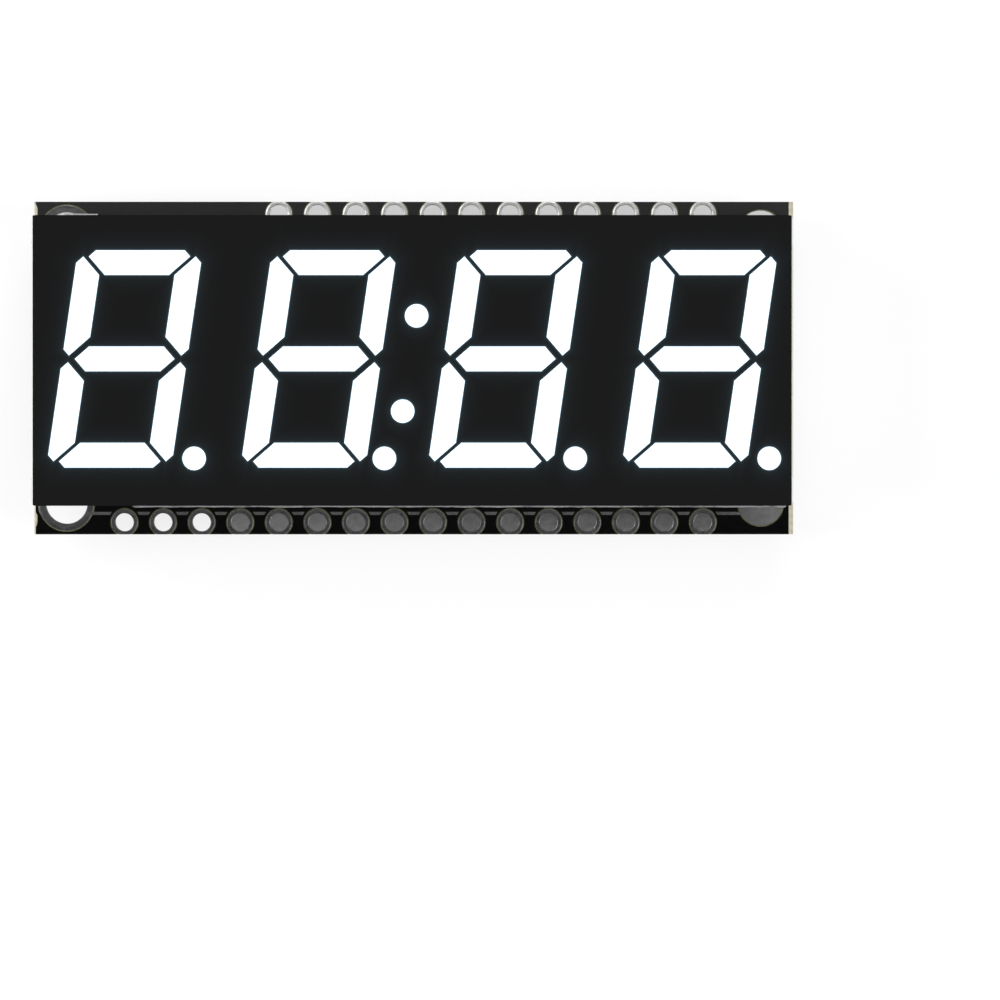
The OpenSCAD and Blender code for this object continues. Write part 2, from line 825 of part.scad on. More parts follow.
module driver_chip_body() {
    first_lead_x = lead_x(leads_per_side - 1);
    color("#242424") on_back() difference() {
        moulded_body(chip_l, chip_w, chip_standoff, chip_h, shoulder_z, lead_t, chip_draft,
                     chip_bevel, chip_bevel_h);
        translate([first_lead_x - dimple_d / 2, chip_bevel + dimple_d - chip_w / 2,
                   chip_h - dimple_depth])
            cylinder(d = dimple_d, h = past);
    }
}

// A bent lead seen from its side: shoulder at height z, two equal bends and a foot on the board.
// It runs from x = start, out along the shoulder, down, and along the foot to x = tip.
function lead_outline(start, shoulder, z, t, r, slope, tip) = let (
    mid_r = r + t / 2,
    rest = 90 - slope,
    run = (z - t / 2 - 2 * mid_r * (1 - sin(rest))) / sin(slope),
    x1 = start + shoulder,
    x2 = x1 + 2 * mid_r * cos(rest) + run * cos(slope)
) concat(
    [[start, z - t / 2], [start, z + t / 2]],
    arc(x1, z - mid_r, mid_r + t / 2, 90, rest),
    arc(x2, t / 2 + mid_r, r, 180 + rest, 270),
    [[tip, t], [tip, 0]],
    arc(x2, t / 2 + mid_r, mid_r + t / 2, 270, 180 + rest),
    arc(x1, z - mid_r, r, rest, 90)
);

chip_lead = lead_outline(
    chip_w / 2, shoulder_l, shoulder_z, lead_t, bend_r, lead_slope, lead_span / 2
);

// An outline in X and Z, given a width across it
module strip(points, w) {
    rotate([90, 0, 0]) linear_extrude(w, center = true) polygon(points);
}

// Turns an outline that runs along X to run along Y on the given side
module chip_side(side) {
    color("silver") on_back() for (i = [0:leads_per_side - 1])
        translate([lead_x(i), 0, 0]) rotate(side * 90) children();
}

module driver_leads_front_row() {
    chip_side(-1) strip(chip_lead, lead_w);
}

module driver_leads_rear_row() {
    chip_side(1) strip(chip_lead, lead_w);
}

// Solder round a lead's foot: a low mound on the pad that climbs the heel, with the lead cut out.
// Its heights are shares of the lead's thickness, so that the top of the foot stays bare.
module foot_solder(outline, lead_width, pad_in, pad_out, pad_width, tip, t) {
    heel = 1.7 * t;
    toe = 0.9 * t;
    crest_w = 1.1 * lead_width;
    mound = [
        [pad_in, 0], [pad_in + heel / 2, heel], [tip - 2 * t, toe], [tip, toe],
        [(tip + pad_out) / 2, toe / 3], [pad_out, 0]
    ];
    side = [
        [-pad_width / 2, 0], [pad_width / 2, 0], [crest_w / 2, heel], [-crest_w / 2, heel]
    ];
    difference() {
        intersection() {
            strip(mound, 2 * pad_width);
            rotate([90, 0, 90]) linear_extrude(pad_out + past) polygon(side);
        }
        strip(outline, lead_width);
    }
}

module driver_foot_solder() {
    foot_solder(chip_lead, lead_w, lead_pad_span / 2 - lead_pad_l, lead_pad_span / 2, lead_pad_w,
                lead_span / 2, lead_t);
}

module driver_solder_front_row() {
    chip_side(-1) driver_foot_solder();
}

module driver_solder_rear_row() {
    chip_side(1) driver_foot_solder();
}

// The solid block of a small two ended part, without its terminals, lying along X
module core_block(l, w, h, skin, side_skin) {
    translate([skin - l / 2, side_skin - w / 2, skin])
        cube([l - 2 * skin, w - 2 * side_skin, h - 2 * skin]);
}

// Its two terminals, wrapped round the ends of the block
module end_caps(l, w, h, cap, skin, side_skin) {
    difference() {
        for (side = [-1, 1]) translate([side * (l - cap) / 2, 0, h / 2])
            cube([cap, w, h], center = true);
        core_block(l, w, h, skin, side_skin);
    }
}

// Hollow solder fillets from the ends of the pads up to the terminals
module end_fillets(l, w, climb, pad_span, pad_w) {
    foot = pad_span / 2 - l / 2;
    curve = [for (i = [0:6]) let (s = i / 6) [l / 2 + foot * s, climb * pow(1 - s, 2)]];
    plan = [
        [l / 2, -w / 2], [pad_span / 2, -pad_w / 2], [pad_span / 2, pad_w / 2], [l / 2, w / 2]
    ];
    for (side = [0, 180]) rotate(side) intersection() {
        strip(concat([[l / 2, 0]], [for (i = [0:6]) curve[i]]), 2 * pad_w);
        linear_extrude(climb + past) polygon(plan);
    }
}

module resistor_core() {
    core_block(resistor_l, resistor_w, resistor_h, cap_t, 0);
}

module resistor_coat() {
    coat_l = resistor_l - 2 * resistor_cap;
    translate([-coat_l / 2, -resistor_w / 2, resistor_h - cap_t])
        cube([coat_l, resistor_w, glaze_t]);
}

module resistor_caps() {
    end_caps(resistor_l, resistor_w, resistor_h, resistor_cap, cap_t, 0);
}

module resistor_fillets() {
    end_fillets(resistor_l, resistor_w, fillet_h, resistor_pad_span, resistor_pad_w);
}

module address_resistor_bodies() {
    color("white") on_back() at_each(address_places) resistor_core();
}

module address_resistor_coats() {
    color("#202020") on_back() at_each(address_places) resistor_coat();
}

module address_resistor_terminals() {
    color("lightgray") on_back() at_each(address_places) resistor_caps();
}

module address_resistor_solder() {
    color("silver") on_back() at_each(address_places) resistor_fillets();
}

module bus_resistor_bodies() {
    color("white") on_back() at_each(bus_places) resistor_core();
}

module bus_resistor_coats() {
    color("#202020") on_back() at_each(bus_places) resistor_coat();
}

module bus_resistor_terminals() {
    color("lightgray") on_back() at_each(bus_places) resistor_caps();
}

module bus_resistor_solder() {
    color("silver") on_back() at_each(bus_places) resistor_fillets();
}

// The capacitor lies across the board
module at_capacitor() {
    on_back() translate([capacitor_x, capacitor_y, 0]) rotate(90) children();
}

module capacitor_body() {
    color("tan") at_capacitor() core_block(capacitor_l, capacitor_w, capacitor_h, cap_t, cap_t);
}

module capacitor_terminals() {
    color("lightgray") at_capacitor()
        end_caps(capacitor_l, capacitor_w, capacitor_h, capacitor_cap, cap_t, cap_t);
}

module capacitor_solder() {
    color("silver") at_capacitor()
        end_fillets(capacitor_l, capacitor_w, 1.4 * fillet_h, capacitor_pad_span, resistor_pad_w);
}

// The diode is a small moulded body with one bent lead at each end
diode_lead = lead_outline(
    diode_l / 2, diode_shoulder_l, diode_shoulder_z, diode_lead_t, diode_bend_r, lead_slope,
    diode_span / 2
);

module at_diode() {
    on_back() translate([diode_x, diode_y, 0]) children();
}

module diode_body() {
    color("#303030") at_diode()
        moulded_body(diode_l, diode_w, diode_standoff, diode_h, diode_shoulder_z, diode_lead_t,
                     chip_draft, diode_bevel, diode_bevel);
}

module diode_leads() {
    color("silver") at_diode() for (turn = [0, 180]) rotate(turn) strip(diode_lead, diode_lead_w);
}

module diode_solder() {
    color("silver") at_diode() for (turn = [0, 180]) rotate(turn)
        foot_solder(diode_lead, diode_lead_w, diode_l / 2, diode_pad_span / 2, diode_pad_w,
                    diode_span / 2, diode_lead_t);
}

circuit_board();
back_solder_mask();
front_solder_mask();
header_row_16_plating();
header_row_12_plating();
mounting_hole_plating();
display_pin_plating();
driver_chip_pads();
capacitor_pads();
diode_pads();
address_resistor_pads();
bus_resistor_pads();
address_jumper_pads();
fiducial_dots();
chip_outline_print();
jumper_frame_print();
diode_print();
header_line_print();
display_housing();
face_coat();
digit_1_segments();
digit_2_segments();
digit_3_segments();
digit_4_segments();
decimal_points();
colon_dots();
led_carrier_board();
led_dies();
back_potting();
display_pins_front_row();
display_pins_rear_row();
display_solder_front_row();
display_solder_rear_row();
driver_chip_body();
driver_leads_front_row();
driver_leads_rear_row();
driver_solder_front_row();
driver_solder_rear_row();
capacitor_body();
capacitor_terminals();
capacitor_solder();
diode_body();
diode_leads();
diode_solder();
address_resistor_bodies();
address_resistor_coats();
address_resistor_terminals();
address_resistor_solder();
bus_resistor_bodies();
bus_resistor_coats();
bus_resistor_terminals();
bus_resistor_solder();
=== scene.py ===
# %% [markdown]
# # A four digit seven segment display module
# The real object is a small black circuit board. A white lit display is soldered on its front, and a
# driver chip with a few small parts sits on its back. The shapes were drawn beforehand and come in as
# named pieces, so this notebook is mostly about looks: what each surface is made of, how light falls
# on it, and the small irregular things, such as solder, that nobody would draw with a ruler.
#
# We begin by loading the pieces and noting how much room they take.

# %% Load the pieces
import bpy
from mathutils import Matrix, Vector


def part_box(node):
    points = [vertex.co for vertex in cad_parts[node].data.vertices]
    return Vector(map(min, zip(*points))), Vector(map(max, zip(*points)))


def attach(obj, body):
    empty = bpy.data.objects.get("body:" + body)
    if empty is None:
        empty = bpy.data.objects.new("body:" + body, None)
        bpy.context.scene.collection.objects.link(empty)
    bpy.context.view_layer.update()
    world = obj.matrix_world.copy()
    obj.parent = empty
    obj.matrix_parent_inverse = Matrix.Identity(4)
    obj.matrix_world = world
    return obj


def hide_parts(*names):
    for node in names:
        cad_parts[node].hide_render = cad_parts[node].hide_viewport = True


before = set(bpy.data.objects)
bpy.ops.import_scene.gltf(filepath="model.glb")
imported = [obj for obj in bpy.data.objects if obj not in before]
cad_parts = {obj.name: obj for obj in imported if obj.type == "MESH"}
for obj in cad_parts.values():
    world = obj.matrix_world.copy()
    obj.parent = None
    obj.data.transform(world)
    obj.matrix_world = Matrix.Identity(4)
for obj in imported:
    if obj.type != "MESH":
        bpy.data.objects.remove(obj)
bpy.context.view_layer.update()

# %% [markdown]
# Blender counts in metres and the board is drawn in millimetres, so one small number turns the one
# into the other everywhere. The board reaches 25 millimetres to the left and right of its middle, and
# 10.95 up and down. The heights are read from the pieces themselves: the back of the board, its front,
# and the face of the display.

# %% Units and heights
import math

import bmesh
import bpy
from mathutils import Euler, Matrix, Vector, noise

MM = 0.001
BOARD_X, BOARD_Y = 25.0, 10.95
BACK_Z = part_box("back_solder_mask")[0].z / MM
FRONT_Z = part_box("front_solder_mask")[1].z / MM
FACE_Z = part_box("face_coat")[1].z / MM
print("board from", round(BACK_Z, 3), "to", round(FRONT_Z, 3), "mm, face at", round(FACE_Z, 3), "mm")

# %% [markdown]
# ## The camera
# The photograph was taken from nearly straight ahead with a long lens: the black face and the board
# behind it are almost the same size in the picture. So the camera stands a metre off, and a long
# focal length brings the module near. It looks straight down on the module, and the frame's middle
# lies below and to the right of it.

# %% Place the camera
AIM = Vector((5.68, -8.69, FRONT_Z)) * MM
DISTANCE = 1000 * MM
FILM_WIDTH = 36
LENS_IN_FILM_WIDTHS = 15.12
camera_data = bpy.data.cameras.new("camera")
camera_data.sensor_width = FILM_WIDTH
camera_data.lens = FILM_WIDTH * LENS_IN_FILM_WIDTHS
camera_data.clip_start = DISTANCE / 100
camera_data.clip_end = DISTANCE * 10
camera = bpy.data.objects.new("camera", camera_data)
bpy.context.scene.collection.objects.link(camera)
camera.location = (0, 0, DISTANCE)
ahead = (AIM - camera.location).normalized()
right = ahead.cross(Vector((0, 1, 0))).normalized()
upright = Matrix((right, right.cross(ahead), -ahead)).transposed()
camera.rotation_euler = upright.to_euler()
bpy.context.scene.camera = camera
print("camera at", [round(v / MM, 1) for v in camera.location], "mm")

# %% [markdown]
# ## Writing materials as plain arithmetic
# A material in Blender is a graph of small nodes. Wiring them one by one takes many lines and hides
# the idea, so three helpers keep it short. `Value` wraps the socket that a number comes out of, and
# lets it be added, multiplied or compared as if it were a Python number. `Graph` holds the nodes, and
# its one method `node` adds any node with its settings and inputs. `Finish` is a graph that belongs to
# a material and feeds its main shader. Positions come from the Object coordinates, in millimetres.

# %% Helpers for materials
class Value:
    """What comes out of one socket: a number, a colour or a vector."""

    def __init__(self, graph, socket):
        self.graph = graph
        self.socket = socket

    def math(self, operation, *others):
        made = self.graph.node("ShaderNodeMath", {"operation": operation}, dict(enumerate(others)))
        return Value(self.graph, made.outputs[0])

    def __add__(self, other):
        return self.math("ADD", self, other)

    def __radd__(self, other):
        return self.math("ADD", other, self)

    def __sub__(self, other):
        return self.math("SUBTRACT", self, other)

    def __rsub__(self, other):
        return self.math("SUBTRACT", other, self)

    def __mul__(self, other):
        return self.math("MULTIPLY", self, other)

    def __rmul__(self, other):
        return self.math("MULTIPLY", other, self)

    def __neg__(self):
        return self.math("MULTIPLY", self, -1)

    def __abs__(self):
        return self.math("ABSOLUTE", self)

    def low(self, other):
        return self.math("MINIMUM", self, other)

    def high(self, other):
        return self.math("MAXIMUM", self, other)

    def exp(self):
        return self.math("EXPONENT", self)

    def sin(self):
        return self.math("SINE", self)

    def root(self):
        return self.math("SQRT", self)

    def step(self, start, end):
        """0 before start, 1 after end, and a smooth rise between them."""
        made = self.graph.node("ShaderNodeMapRange", {"interpolation_type": "SMOOTHSTEP"},
                               {"Value": self, "From Min": start, "From Max": end})
        return Value(self.graph, made.outputs[0])


class Graph:
    """A tree of nodes, and the kinds of node that are wanted again and again."""

    def __init__(self, tree):
        self.tree = tree
        self.spot = None

    def plug(self, socket, value):
        if isinstance(value, Value):
            self.tree.links.new(value.socket, socket)
        elif isinstance(value, tuple) and socket.type == "RGBA":
            socket.default_value = (*value, 1)
        else:
            socket.default_value = value

    def node(self, kind, settings=None, inputs=None):
        made = self.tree.nodes.new(kind)
        for key, value in (settings or {}).items():
            setattr(made, key, value)
        for key, value in (inputs or {}).items():
            self.plug(made.inputs[key], value)
        return made

    def place(self, scale=(1, 1, 1)):
        """The position on the object in millimetres, with each axis multiplied by scale."""
        if self.spot is None:
            self.spot = Value(self, self.node("ShaderNodeTexCoord").outputs["Object"])
        made = self.node("ShaderNodeVectorMath", {"operation": "MULTIPLY"},
                         {0: self.spot, 1: tuple(s / MM for s in scale)})
        return Value(self, made.outputs[0])

    def split(self, vector):
        """The three numbers of a vector."""
        made = self.node("ShaderNodeSeparateXYZ", {}, {0: vector})
        return [Value(self, made.outputs[i]) for i in range(3)]

    def xyz(self):
        return self.split(self.place())

    def noise(self, scale, detail=2, rough=0.5, stretch=(1, 1, 1)):
        """Cloudy noise from 0 to 1, with about scale blotches in a millimetre."""
        made = self.node("ShaderNodeTexNoise", {}, {
            "Vector": self.place(stretch), "Scale": scale, "Detail": detail, "Roughness": rough})
        return Value(self, made.outputs["Fac"])

    def cells(self, scale):
        """Distance to the nearest of many scattered points."""
        made = self.node("ShaderNodeTexVoronoi", {"feature": "F1"}, {"Vector": self.place(), "Scale": scale})
        return Value(self, made.outputs["Distance"])

    def mix(self, amount, one, two):
        """From colour one to colour two, as amount goes from 0 to 1."""
        made = self.node("ShaderNodeMix", {"data_type": "RGBA"}, {0: amount, 6: one, 7: two})
        return Value(self, made.outputs[2])

    def tint(self, amount, colour):
        """A colour made darker or brighter by an amount."""
        made = self.node("ShaderNodeVectorMath", {"operation": "SCALE"}, {0: colour, "Scale": amount})
        return Value(self, made.outputs[0])


class Finish(Graph):
    """A material. The settings are plain inputs of its main shader."""

    def __init__(self, name, base=(0.5, 0.5, 0.5), **settings):
        self.material = bpy.data.materials.new(name)
        self.material.use_nodes = True
        super().__init__(self.material.node_tree)
        self.shader = self.tree.nodes["Principled BSDF"]
        self.shader.inputs["Base Color"].default_value = (*base, 1)
        for key, value in settings.items():
            self.shader.inputs[key.replace("_", " ").title().replace("Ior", "IOR")].default_value = value

    def colour(self, value):
        self.plug(self.shader.inputs["Base Color"], value)
        return self

    def rough(self, value):
        self.plug(self.shader.inputs["Roughness"], value)
        return self

    def glow(self, value):
        self.plug(self.shader.inputs["Emission Color"], value)
        self.shader.inputs["Emission Strength"].default_value = 1
        return self

    def bump(self, height, depth):
        """Fine relief: height from 0 to 1, and its real depth in millimetres."""
        made = self.node("ShaderNodeBump", {}, {"Height": height, "Distance": depth * MM})
        self.plug(self.shader.inputs["Normal"], Value(self, made.outputs[0]))
        return self


def coat(finish, *names):
    """Gives a finish to pieces that were loaded."""
    for name in names:
        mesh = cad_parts[name].data
        mesh.materials.clear()
        mesh.materials.append(finish.material)
    print(finish.material.name, "on", len(names), "pieces")

# %% [markdown]
# ## Floor and light
# The photograph is on plain white. A large matt sheet lies under the module. Rays that come straight
# from the camera see it partly as plain white, and the rest of its colour comes from the light, which
# keeps the soft shadow. Right under the board a painted shadow is added: the sheet is coloured dark
# there and its white share is smaller, so that the holes look onto a grey sheet. The painted shadow is
# weaker behind the upper row and a little weaker at the left, and it leaves out the first three holes
# of the lower row, which look onto plain white, as in the photograph.
# Light passes through it, and so does a camera below, as if the module lay on glass, because the back
# of the board is as much a part of the picture as the front.

# %% The floor
FLOOR_SIZE = 3.0
WHITE_SHEET, SHADED_SHEET = (0.93, 0.93, 0.93), (0.06, 0.06, 0.06)
PAINTED_SHADOW_X, PAINTED_SHADOW_Y = (24.5, 24.9), (10.8, 10.98)
PAINTED_LIT_HOLES_X, PAINTED_LIT_HOLES_Y = (-13.2, -12.2), (-8.4, -7.6)
SHARE_ROUND, SHARE_DROP, GAIN_LEFT, GAIN_ABOVE = 0.78, 0.745, 0.045, 0.5
floor_mesh = bpy.data.meshes.new("floor")
grid = bmesh.new()
bmesh.ops.create_grid(grid, x_segments=1, y_segments=1, size=FLOOR_SIZE / 2)
grid.to_mesh(floor_mesh)
grid.free()
floor = bpy.data.objects.new("floor", floor_mesh)
bpy.context.scene.collection.objects.link(floor)

sheet = Finish("white_sheet", WHITE_SHEET, roughness=0.9, specular_ior_level=0.1)
path = sheet.node("ShaderNodeLightPath")
from_camera = Value(sheet, path.outputs["Is Camera Ray"])
below = Value(sheet, sheet.node("ShaderNodeNewGeometry").outputs["Backfacing"])
plain = sheet.node("ShaderNodeEmission", {}, {"Color": (1.0, 1.0, 1.0), "Strength": 1.0})
clear = sheet.node("ShaderNodeBsdfTransparent")
sheet_x, sheet_y, _ = sheet.xyz()
# Painted shadow: under the board the sheet is coloured dark and its white share drops. It is left out under
# the first three holes of the lower row, and weaker above the middle and towards the left.
painted_shadow = (1 - abs(sheet_x).step(*PAINTED_SHADOW_X)) * (1 - abs(sheet_y).step(*PAINTED_SHADOW_Y))
painted_shadow = painted_shadow * sheet_x.step(*PAINTED_LIT_HOLES_X).high(sheet_y.step(*PAINTED_LIT_HOLES_Y))
above = sheet_y.step(-1, 1)
leftward = 1 - sheet_x.step(-14, 4)
share = SHARE_ROUND - painted_shadow * (SHARE_DROP - leftward * GAIN_LEFT - above * GAIN_ABOVE)
painted_shadow_streaks = sheet.noise(1.1, 3, 0.6, stretch=(1.6, 1.6, 1))
sheet.colour(sheet.mix(painted_shadow * (0.8 + painted_shadow_streaks * 0.2), WHITE_SHEET, SHADED_SHEET))
lit_sheet = sheet.node("ShaderNodeMixShader", {}, {
    0: from_camera * share, 1: Value(sheet, sheet.shader.outputs[0]), 2: Value(sheet, plain.outputs[0])})
seen_sheet = sheet.node("ShaderNodeMixShader", {}, {
    0: from_camera * (1 - below), 1: Value(sheet, clear.outputs[0]), 2: Value(sheet, lit_sheet.outputs[0])})
out = sheet.tree.nodes["Material Output"]
sheet.plug(out.inputs["Surface"], Value(sheet, seen_sheet.outputs[0]))
floor_mesh.materials.append(sheet.material)
print("floor", FLOOR_SIZE, "m wide")

# %% [markdown]
# Black, white and metal in one picture are hard to light. Large lamps low at the sides light matt
# surfaces evenly, while flat metal that faces the camera mirrors only the darker sky above it and
# turns the mid grey that the photograph shows. The sky is therefore a gradient: pale near the
# horizon, darker overhead and darker below. Below the horizon it also has two bright and two dark
# sides, like a studio with two white panels, which gives the solder its hard black and white streaks.

# %% The sky and the lamps
world = bpy.data.worlds.new("studio")
bpy.context.scene.world = world
world.use_nodes = True
sky = Graph(world.node_tree)
east, north, up = sky.split(Value(sky, sky.node("ShaderNodeTexCoord").outputs["Generated"]))
level = 1.0 - up.step(0.15, 0.95) * 0.86 - (-up).step(0.3, 0.95) * 0.86
panels = abs(east * 0.45 + north * 0.9).step(0.28, 0.42)
level = level * (1 - (-up).step(0.08, 0.2) * (1 - panels) * 0.88)
is_camera = Value(sky, sky.node("ShaderNodeLightPath").outputs["Is Camera Ray"])
sky_colour = sky.mix(is_camera, sky.tint(level, (0.62, 0.64, 0.66)), (1.0, 1.0, 1.0))
sky.plug(world.node_tree.nodes["Background"].inputs["Color"], sky_colour)


def lamp(name, place, size, watts):
    """A square soft lamp that looks at the module."""
    data = bpy.data.lights.new(name, "AREA")
    data.shape = "SQUARE"
    data.size = size
    data.energy = watts
    made = bpy.data.objects.new(name, data)
    made.location = place
    made.rotation_euler = (-Vector(place)).to_track_quat("-Z", "Y").to_euler()
    bpy.context.scene.collection.objects.link(made)
    print(name, "at", place, "m,", watts, "W")


lamp("left_lamp", (-0.75, 0.15, 0.62), 0.6, 7.5)
lamp("right_lamp", (0.75, -0.2, 0.62), 0.6, 7.0)
lamp("rear_lamp", (0.1, 0.85, 0.6), 0.5, 5.0)
lamp("lower_left_lamp", (-0.7, 0.25, -0.6), 0.45, 8.0)
lamp("lower_right_lamp", (0.6, -0.4, -0.65), 0.35, 7.0)

# %% [markdown]
# ## The digits as a formula
# Each lit bar throws a faint bluish gleam on the black face round it. To paint it, a material has to
# know how far any point of the face is from the nearest bar. The four digits are alike and nearly
# symmetric, so the position is folded: first over the middle of the display, then over the middle
# of a pair of digits, then over a digit's own axes. In that one quarter only three bars are left,
# and each is convex, so its distance is the largest of its edges' distances.
#
# The sizes are those of one digit: half its height and width, the width of a bar, how much the two
# outer corners are cut, how far the bars' ends stand back from each other, and the half length of the
# middle bar. `PAIR` and `HALF_PAIR` lead from the middle of the face to a pair and from there to a
# digit.

# %% Distance to the nearest bar
FACE_X, DIGIT_Y = -0.1, 0.6
LEAN = math.tan(math.radians(8.3))
PAIR, HALF_PAIR = 12.45, 6.34
HALF_H, HALF_W, BAR = 7.1, 4.08, 1.62
CHAMFER, CORNER, TIP, MIDDLE_TIP = 0.41, 0.36, 0.22, 3.26
DOTS = [(-14.25, -5.9), (-1.82, -5.9), (10.65, -5.9), (23.33, -5.9),
        (-0.17 + 3.115 * LEAN, 3.415), (-0.17 - 3.115 * LEAN, -2.815)]
DOT_R = 0.77
DIAGONAL = math.sqrt(0.5)


def bar_distance(finish):
    x, y, _ = finish.xyz()
    x = x - FACE_X
    row = y - DIGIT_Y
    q = abs(row)
    p = abs(abs(abs(x - row * LEAN) - PAIR) - HALF_PAIR)
    total, less = p + q, p - q
    top = (q - HALF_H).high(HALF_H - BAR - q)
    top = top.high((total - (HALF_W - CORNER - 2 * CHAMFER + HALF_H)) * DIAGONAL)
    top = top.high((less - (HALF_W - CORNER - HALF_H)) * DIAGONAL)
    side = (p - HALF_W).high(HALF_W - BAR - p)
    side = side.high((total - (HALF_W + HALF_H - 2 * CHAMFER)) * DIAGONAL)
    side = side.high((HALF_W - HALF_H - less) * DIAGONAL)
    side = side.high((less - (HALF_W - TIP - CHAMFER)) * DIAGONAL)
    side = side.high((HALF_W - CHAMFER + TIP - total) * DIAGONAL)
    middle = (q - BAR / 2).high((total - MIDDLE_TIP) * DIAGONAL)
    nearest = top.low(side).low(middle)
    for dot_x, dot_y in DOTS:
        away = ((x - dot_x) * (x - dot_x) + (y - dot_y) * (y - dot_y)).root() - DOT_R
        nearest = nearest.low(away)
    return nearest


print("folded over", PAIR, "and", HALF_PAIR, "mm;", len(DOTS), "dots")

# %% [markdown]
# ## The display
# The face is a thin black coat printed on a white moulding. It is matt and even, so it gets a very
# dark base, little shine and a fine grain. The gleam is added as light of its own: a narrow bright
# rim at the very edge of a bar and a wide faint veil that fades within a millimetre.

# %% The black face
face_black = Finish("face_black", (0.004, 0.004, 0.004), roughness=0.62, specular_ior_level=0.05)
away = bar_distance(face_black).high(0)
gleam = (away * -30).exp() * 0.12 + (away * -2.6).exp() * 0.02
grain = face_black.noise(9, 3)
face_black.colour(face_black.mix(grain, (0.0046, 0.0046, 0.0048), (0.007, 0.007, 0.007)))
face_black.rough(0.56 + grain * 0.14).glow(face_black.tint(gleam, (0.45, 0.82, 1.0)))
face_black.bump(face_black.noise(26, 2), 0.004)
coat(face_black, "face_coat")

# %% [markdown]
# The bars are clear resin filled with white powder, lit from behind by one lamp each. They read as
# plain white, a touch brighter over the lamp and a touch bluer where the resin meets the black coat.

# %% The lit bars
lit = Finish("lit_segment", (0.55, 0.57, 0.6), roughness=0.35, specular_ior_level=0.3)
inside = bar_distance(lit)
rim = inside.step(-0.16, -0.01)
cloud = lit.noise(1.4, 2)
core = lit.mix(cloud, (0.93, 0.97, 1.0), (1.0, 1.0, 1.0))
lit.glow(lit.mix(rim, core, (0.42, 0.62, 0.78)))
lit.rough(0.3 + cloud * 0.15)
coat(lit, "digit_1_segments", "digit_2_segments", "digit_3_segments", "digit_4_segments",
     "decimal_points", "colon_dots")

# %% [markdown]
# The housing is injection moulded in white plastic. Only its thin side walls show. Moulded walls
# have faint upright drag lines from the steel and a soft grain. Through the mounting holes it looks
# dark inside, so the resin that fills it from behind is coloured dark, which is painted shade.

# %% The housing and what is inside it
plastic = Finish("housing_plastic", (0.6, 0.6, 0.59), roughness=0.6, specular_ior_level=0.15)
drag = plastic.noise(5, 3, 0.6, stretch=(1, 1, 0.12))
plastic.colour(plastic.mix(drag, (0.52, 0.52, 0.51), (0.64, 0.64, 0.62)))
plastic.rough(0.54 + drag * 0.16).bump(drag, 0.01)
coat(plastic, "display_housing")

# The resin's dark colour is painted shade for the cavity seen through the mounting holes.
shaded_resin = Finish("potting_resin", (0.04, 0.038, 0.034), roughness=0.15, specular_ior_level=0.5)
swirl = shaded_resin.noise(0.5, 4, 0.6)
shaded_resin.colour(shaded_resin.mix(swirl, (0.02, 0.019, 0.017), (0.06, 0.057, 0.05)))
shaded_resin.rough(0.1 + swirl * 0.15).bump(swirl, 0.03)
coat(shaded_resin, "back_potting")

die = Finish("lamp_die", (0.7, 0.6, 0.2), roughness=0.3)
facet = die.cells(9)
die.colour(die.mix(facet, (0.75, 0.62, 0.12), (0.5, 0.62, 0.7)))
coat(die, "led_dies")

# %% [markdown]
# ## The board
# Circuit board laminate is glass cloth in resin. Where it is bare, at the scored ends and in the
# thin gaps round the pads, it is a dull straw colour with the weave just showing: two sets of
# crossing threads about half a millimetre apart. The broken ends are pale, and the surface in the
# windows of the lacquer is a darker olive. The same finish serves the display's inner board.

# %% Woven laminate
def laminate(name, dark, pale, inner=None):
    """Glass cloth laminate; inner is its colour away from the broken ends."""
    made = Finish(name, pale, roughness=0.7, specular_ior_level=0.25)
    x, y, z = made.xyz()
    wobble = made.noise(1.3, 2) * 1.2
    warp = (x * 12.5 + wobble).sin() * 0.5 + 0.5
    weft = (y * 12.5 + wobble).sin() * 0.5 + 0.5
    plies = (z * 34 + made.noise(3, 2) * 3).sin() * 0.5 + 0.5
    fibres = warp * 0.35 + weft * 0.35 + plies * 0.3
    fray = made.noise(14, 4, 0.7, stretch=(1, 1, 3))
    colour = made.mix(fibres * 0.55 + fray * 0.6, dark, pale)
    if inner:
        broken = abs(x).step(24.55, 24.68).high(abs(y).step(10.9, 10.94))
        colour = made.mix(broken, made.tint(0.7 + fibres * 0.6, inner), colour)
    made.colour(colour)
    made.rough(0.55 + fray * 0.35).bump(fibres * 0.4 + fray * 0.6, 0.03)
    return made


coat(laminate("laminate", (0.24, 0.22, 0.14), (0.56, 0.53, 0.42), (0.12, 0.11, 0.055)), "circuit_board")
coat(laminate("carrier_laminate", (0.5, 0.47, 0.34), (0.8, 0.78, 0.66)), "led_carrier_board")

# %% [markdown]
# Solder mask is a black lacquer. It is glossier than the display's face, with a faint orange peel
# where it ran over the cloth, and it is a little thinner and browner in places. On the front it is
# coloured deeper black below the display, which is painted shade, and a mottled dark grey above it,
# which is a painted sheen.

# %% Solder mask
mask = Finish("solder_mask", (0.004, 0.004, 0.004), roughness=0.34, specular_ior_level=0.1)
peel = mask.noise(2.4, 3, 0.55)
mottle = mask.noise(0.35, 3)
lacquer = mask.mix(mottle, (0.0025, 0.0026, 0.0028), (0.006, 0.006, 0.0056))
_, mask_y, mask_z = mask.xyz()
front = mask_z.step(3.6, 3.9)
# On the front only: a mottled painted sheen above the display, and painted shade below it.
painted_sheen = front * mask_y.step(9.0, 9.9) * (0.6 + mottle * 0.8)
painted_shade = front * (1 - mask_y.step(-9.2, -8.6))
mask.colour(mask.mix(painted_shade, mask.mix(painted_sheen, lacquer, (0.019, 0.019, 0.019)), (0.001, 0.001, 0.001)))
mask.rough(0.28 + peel * 0.16).bump(peel * 0.6 + mask.noise(14, 2) * 0.2, 0.012)
coat(mask, "front_solder_mask", "back_solder_mask")
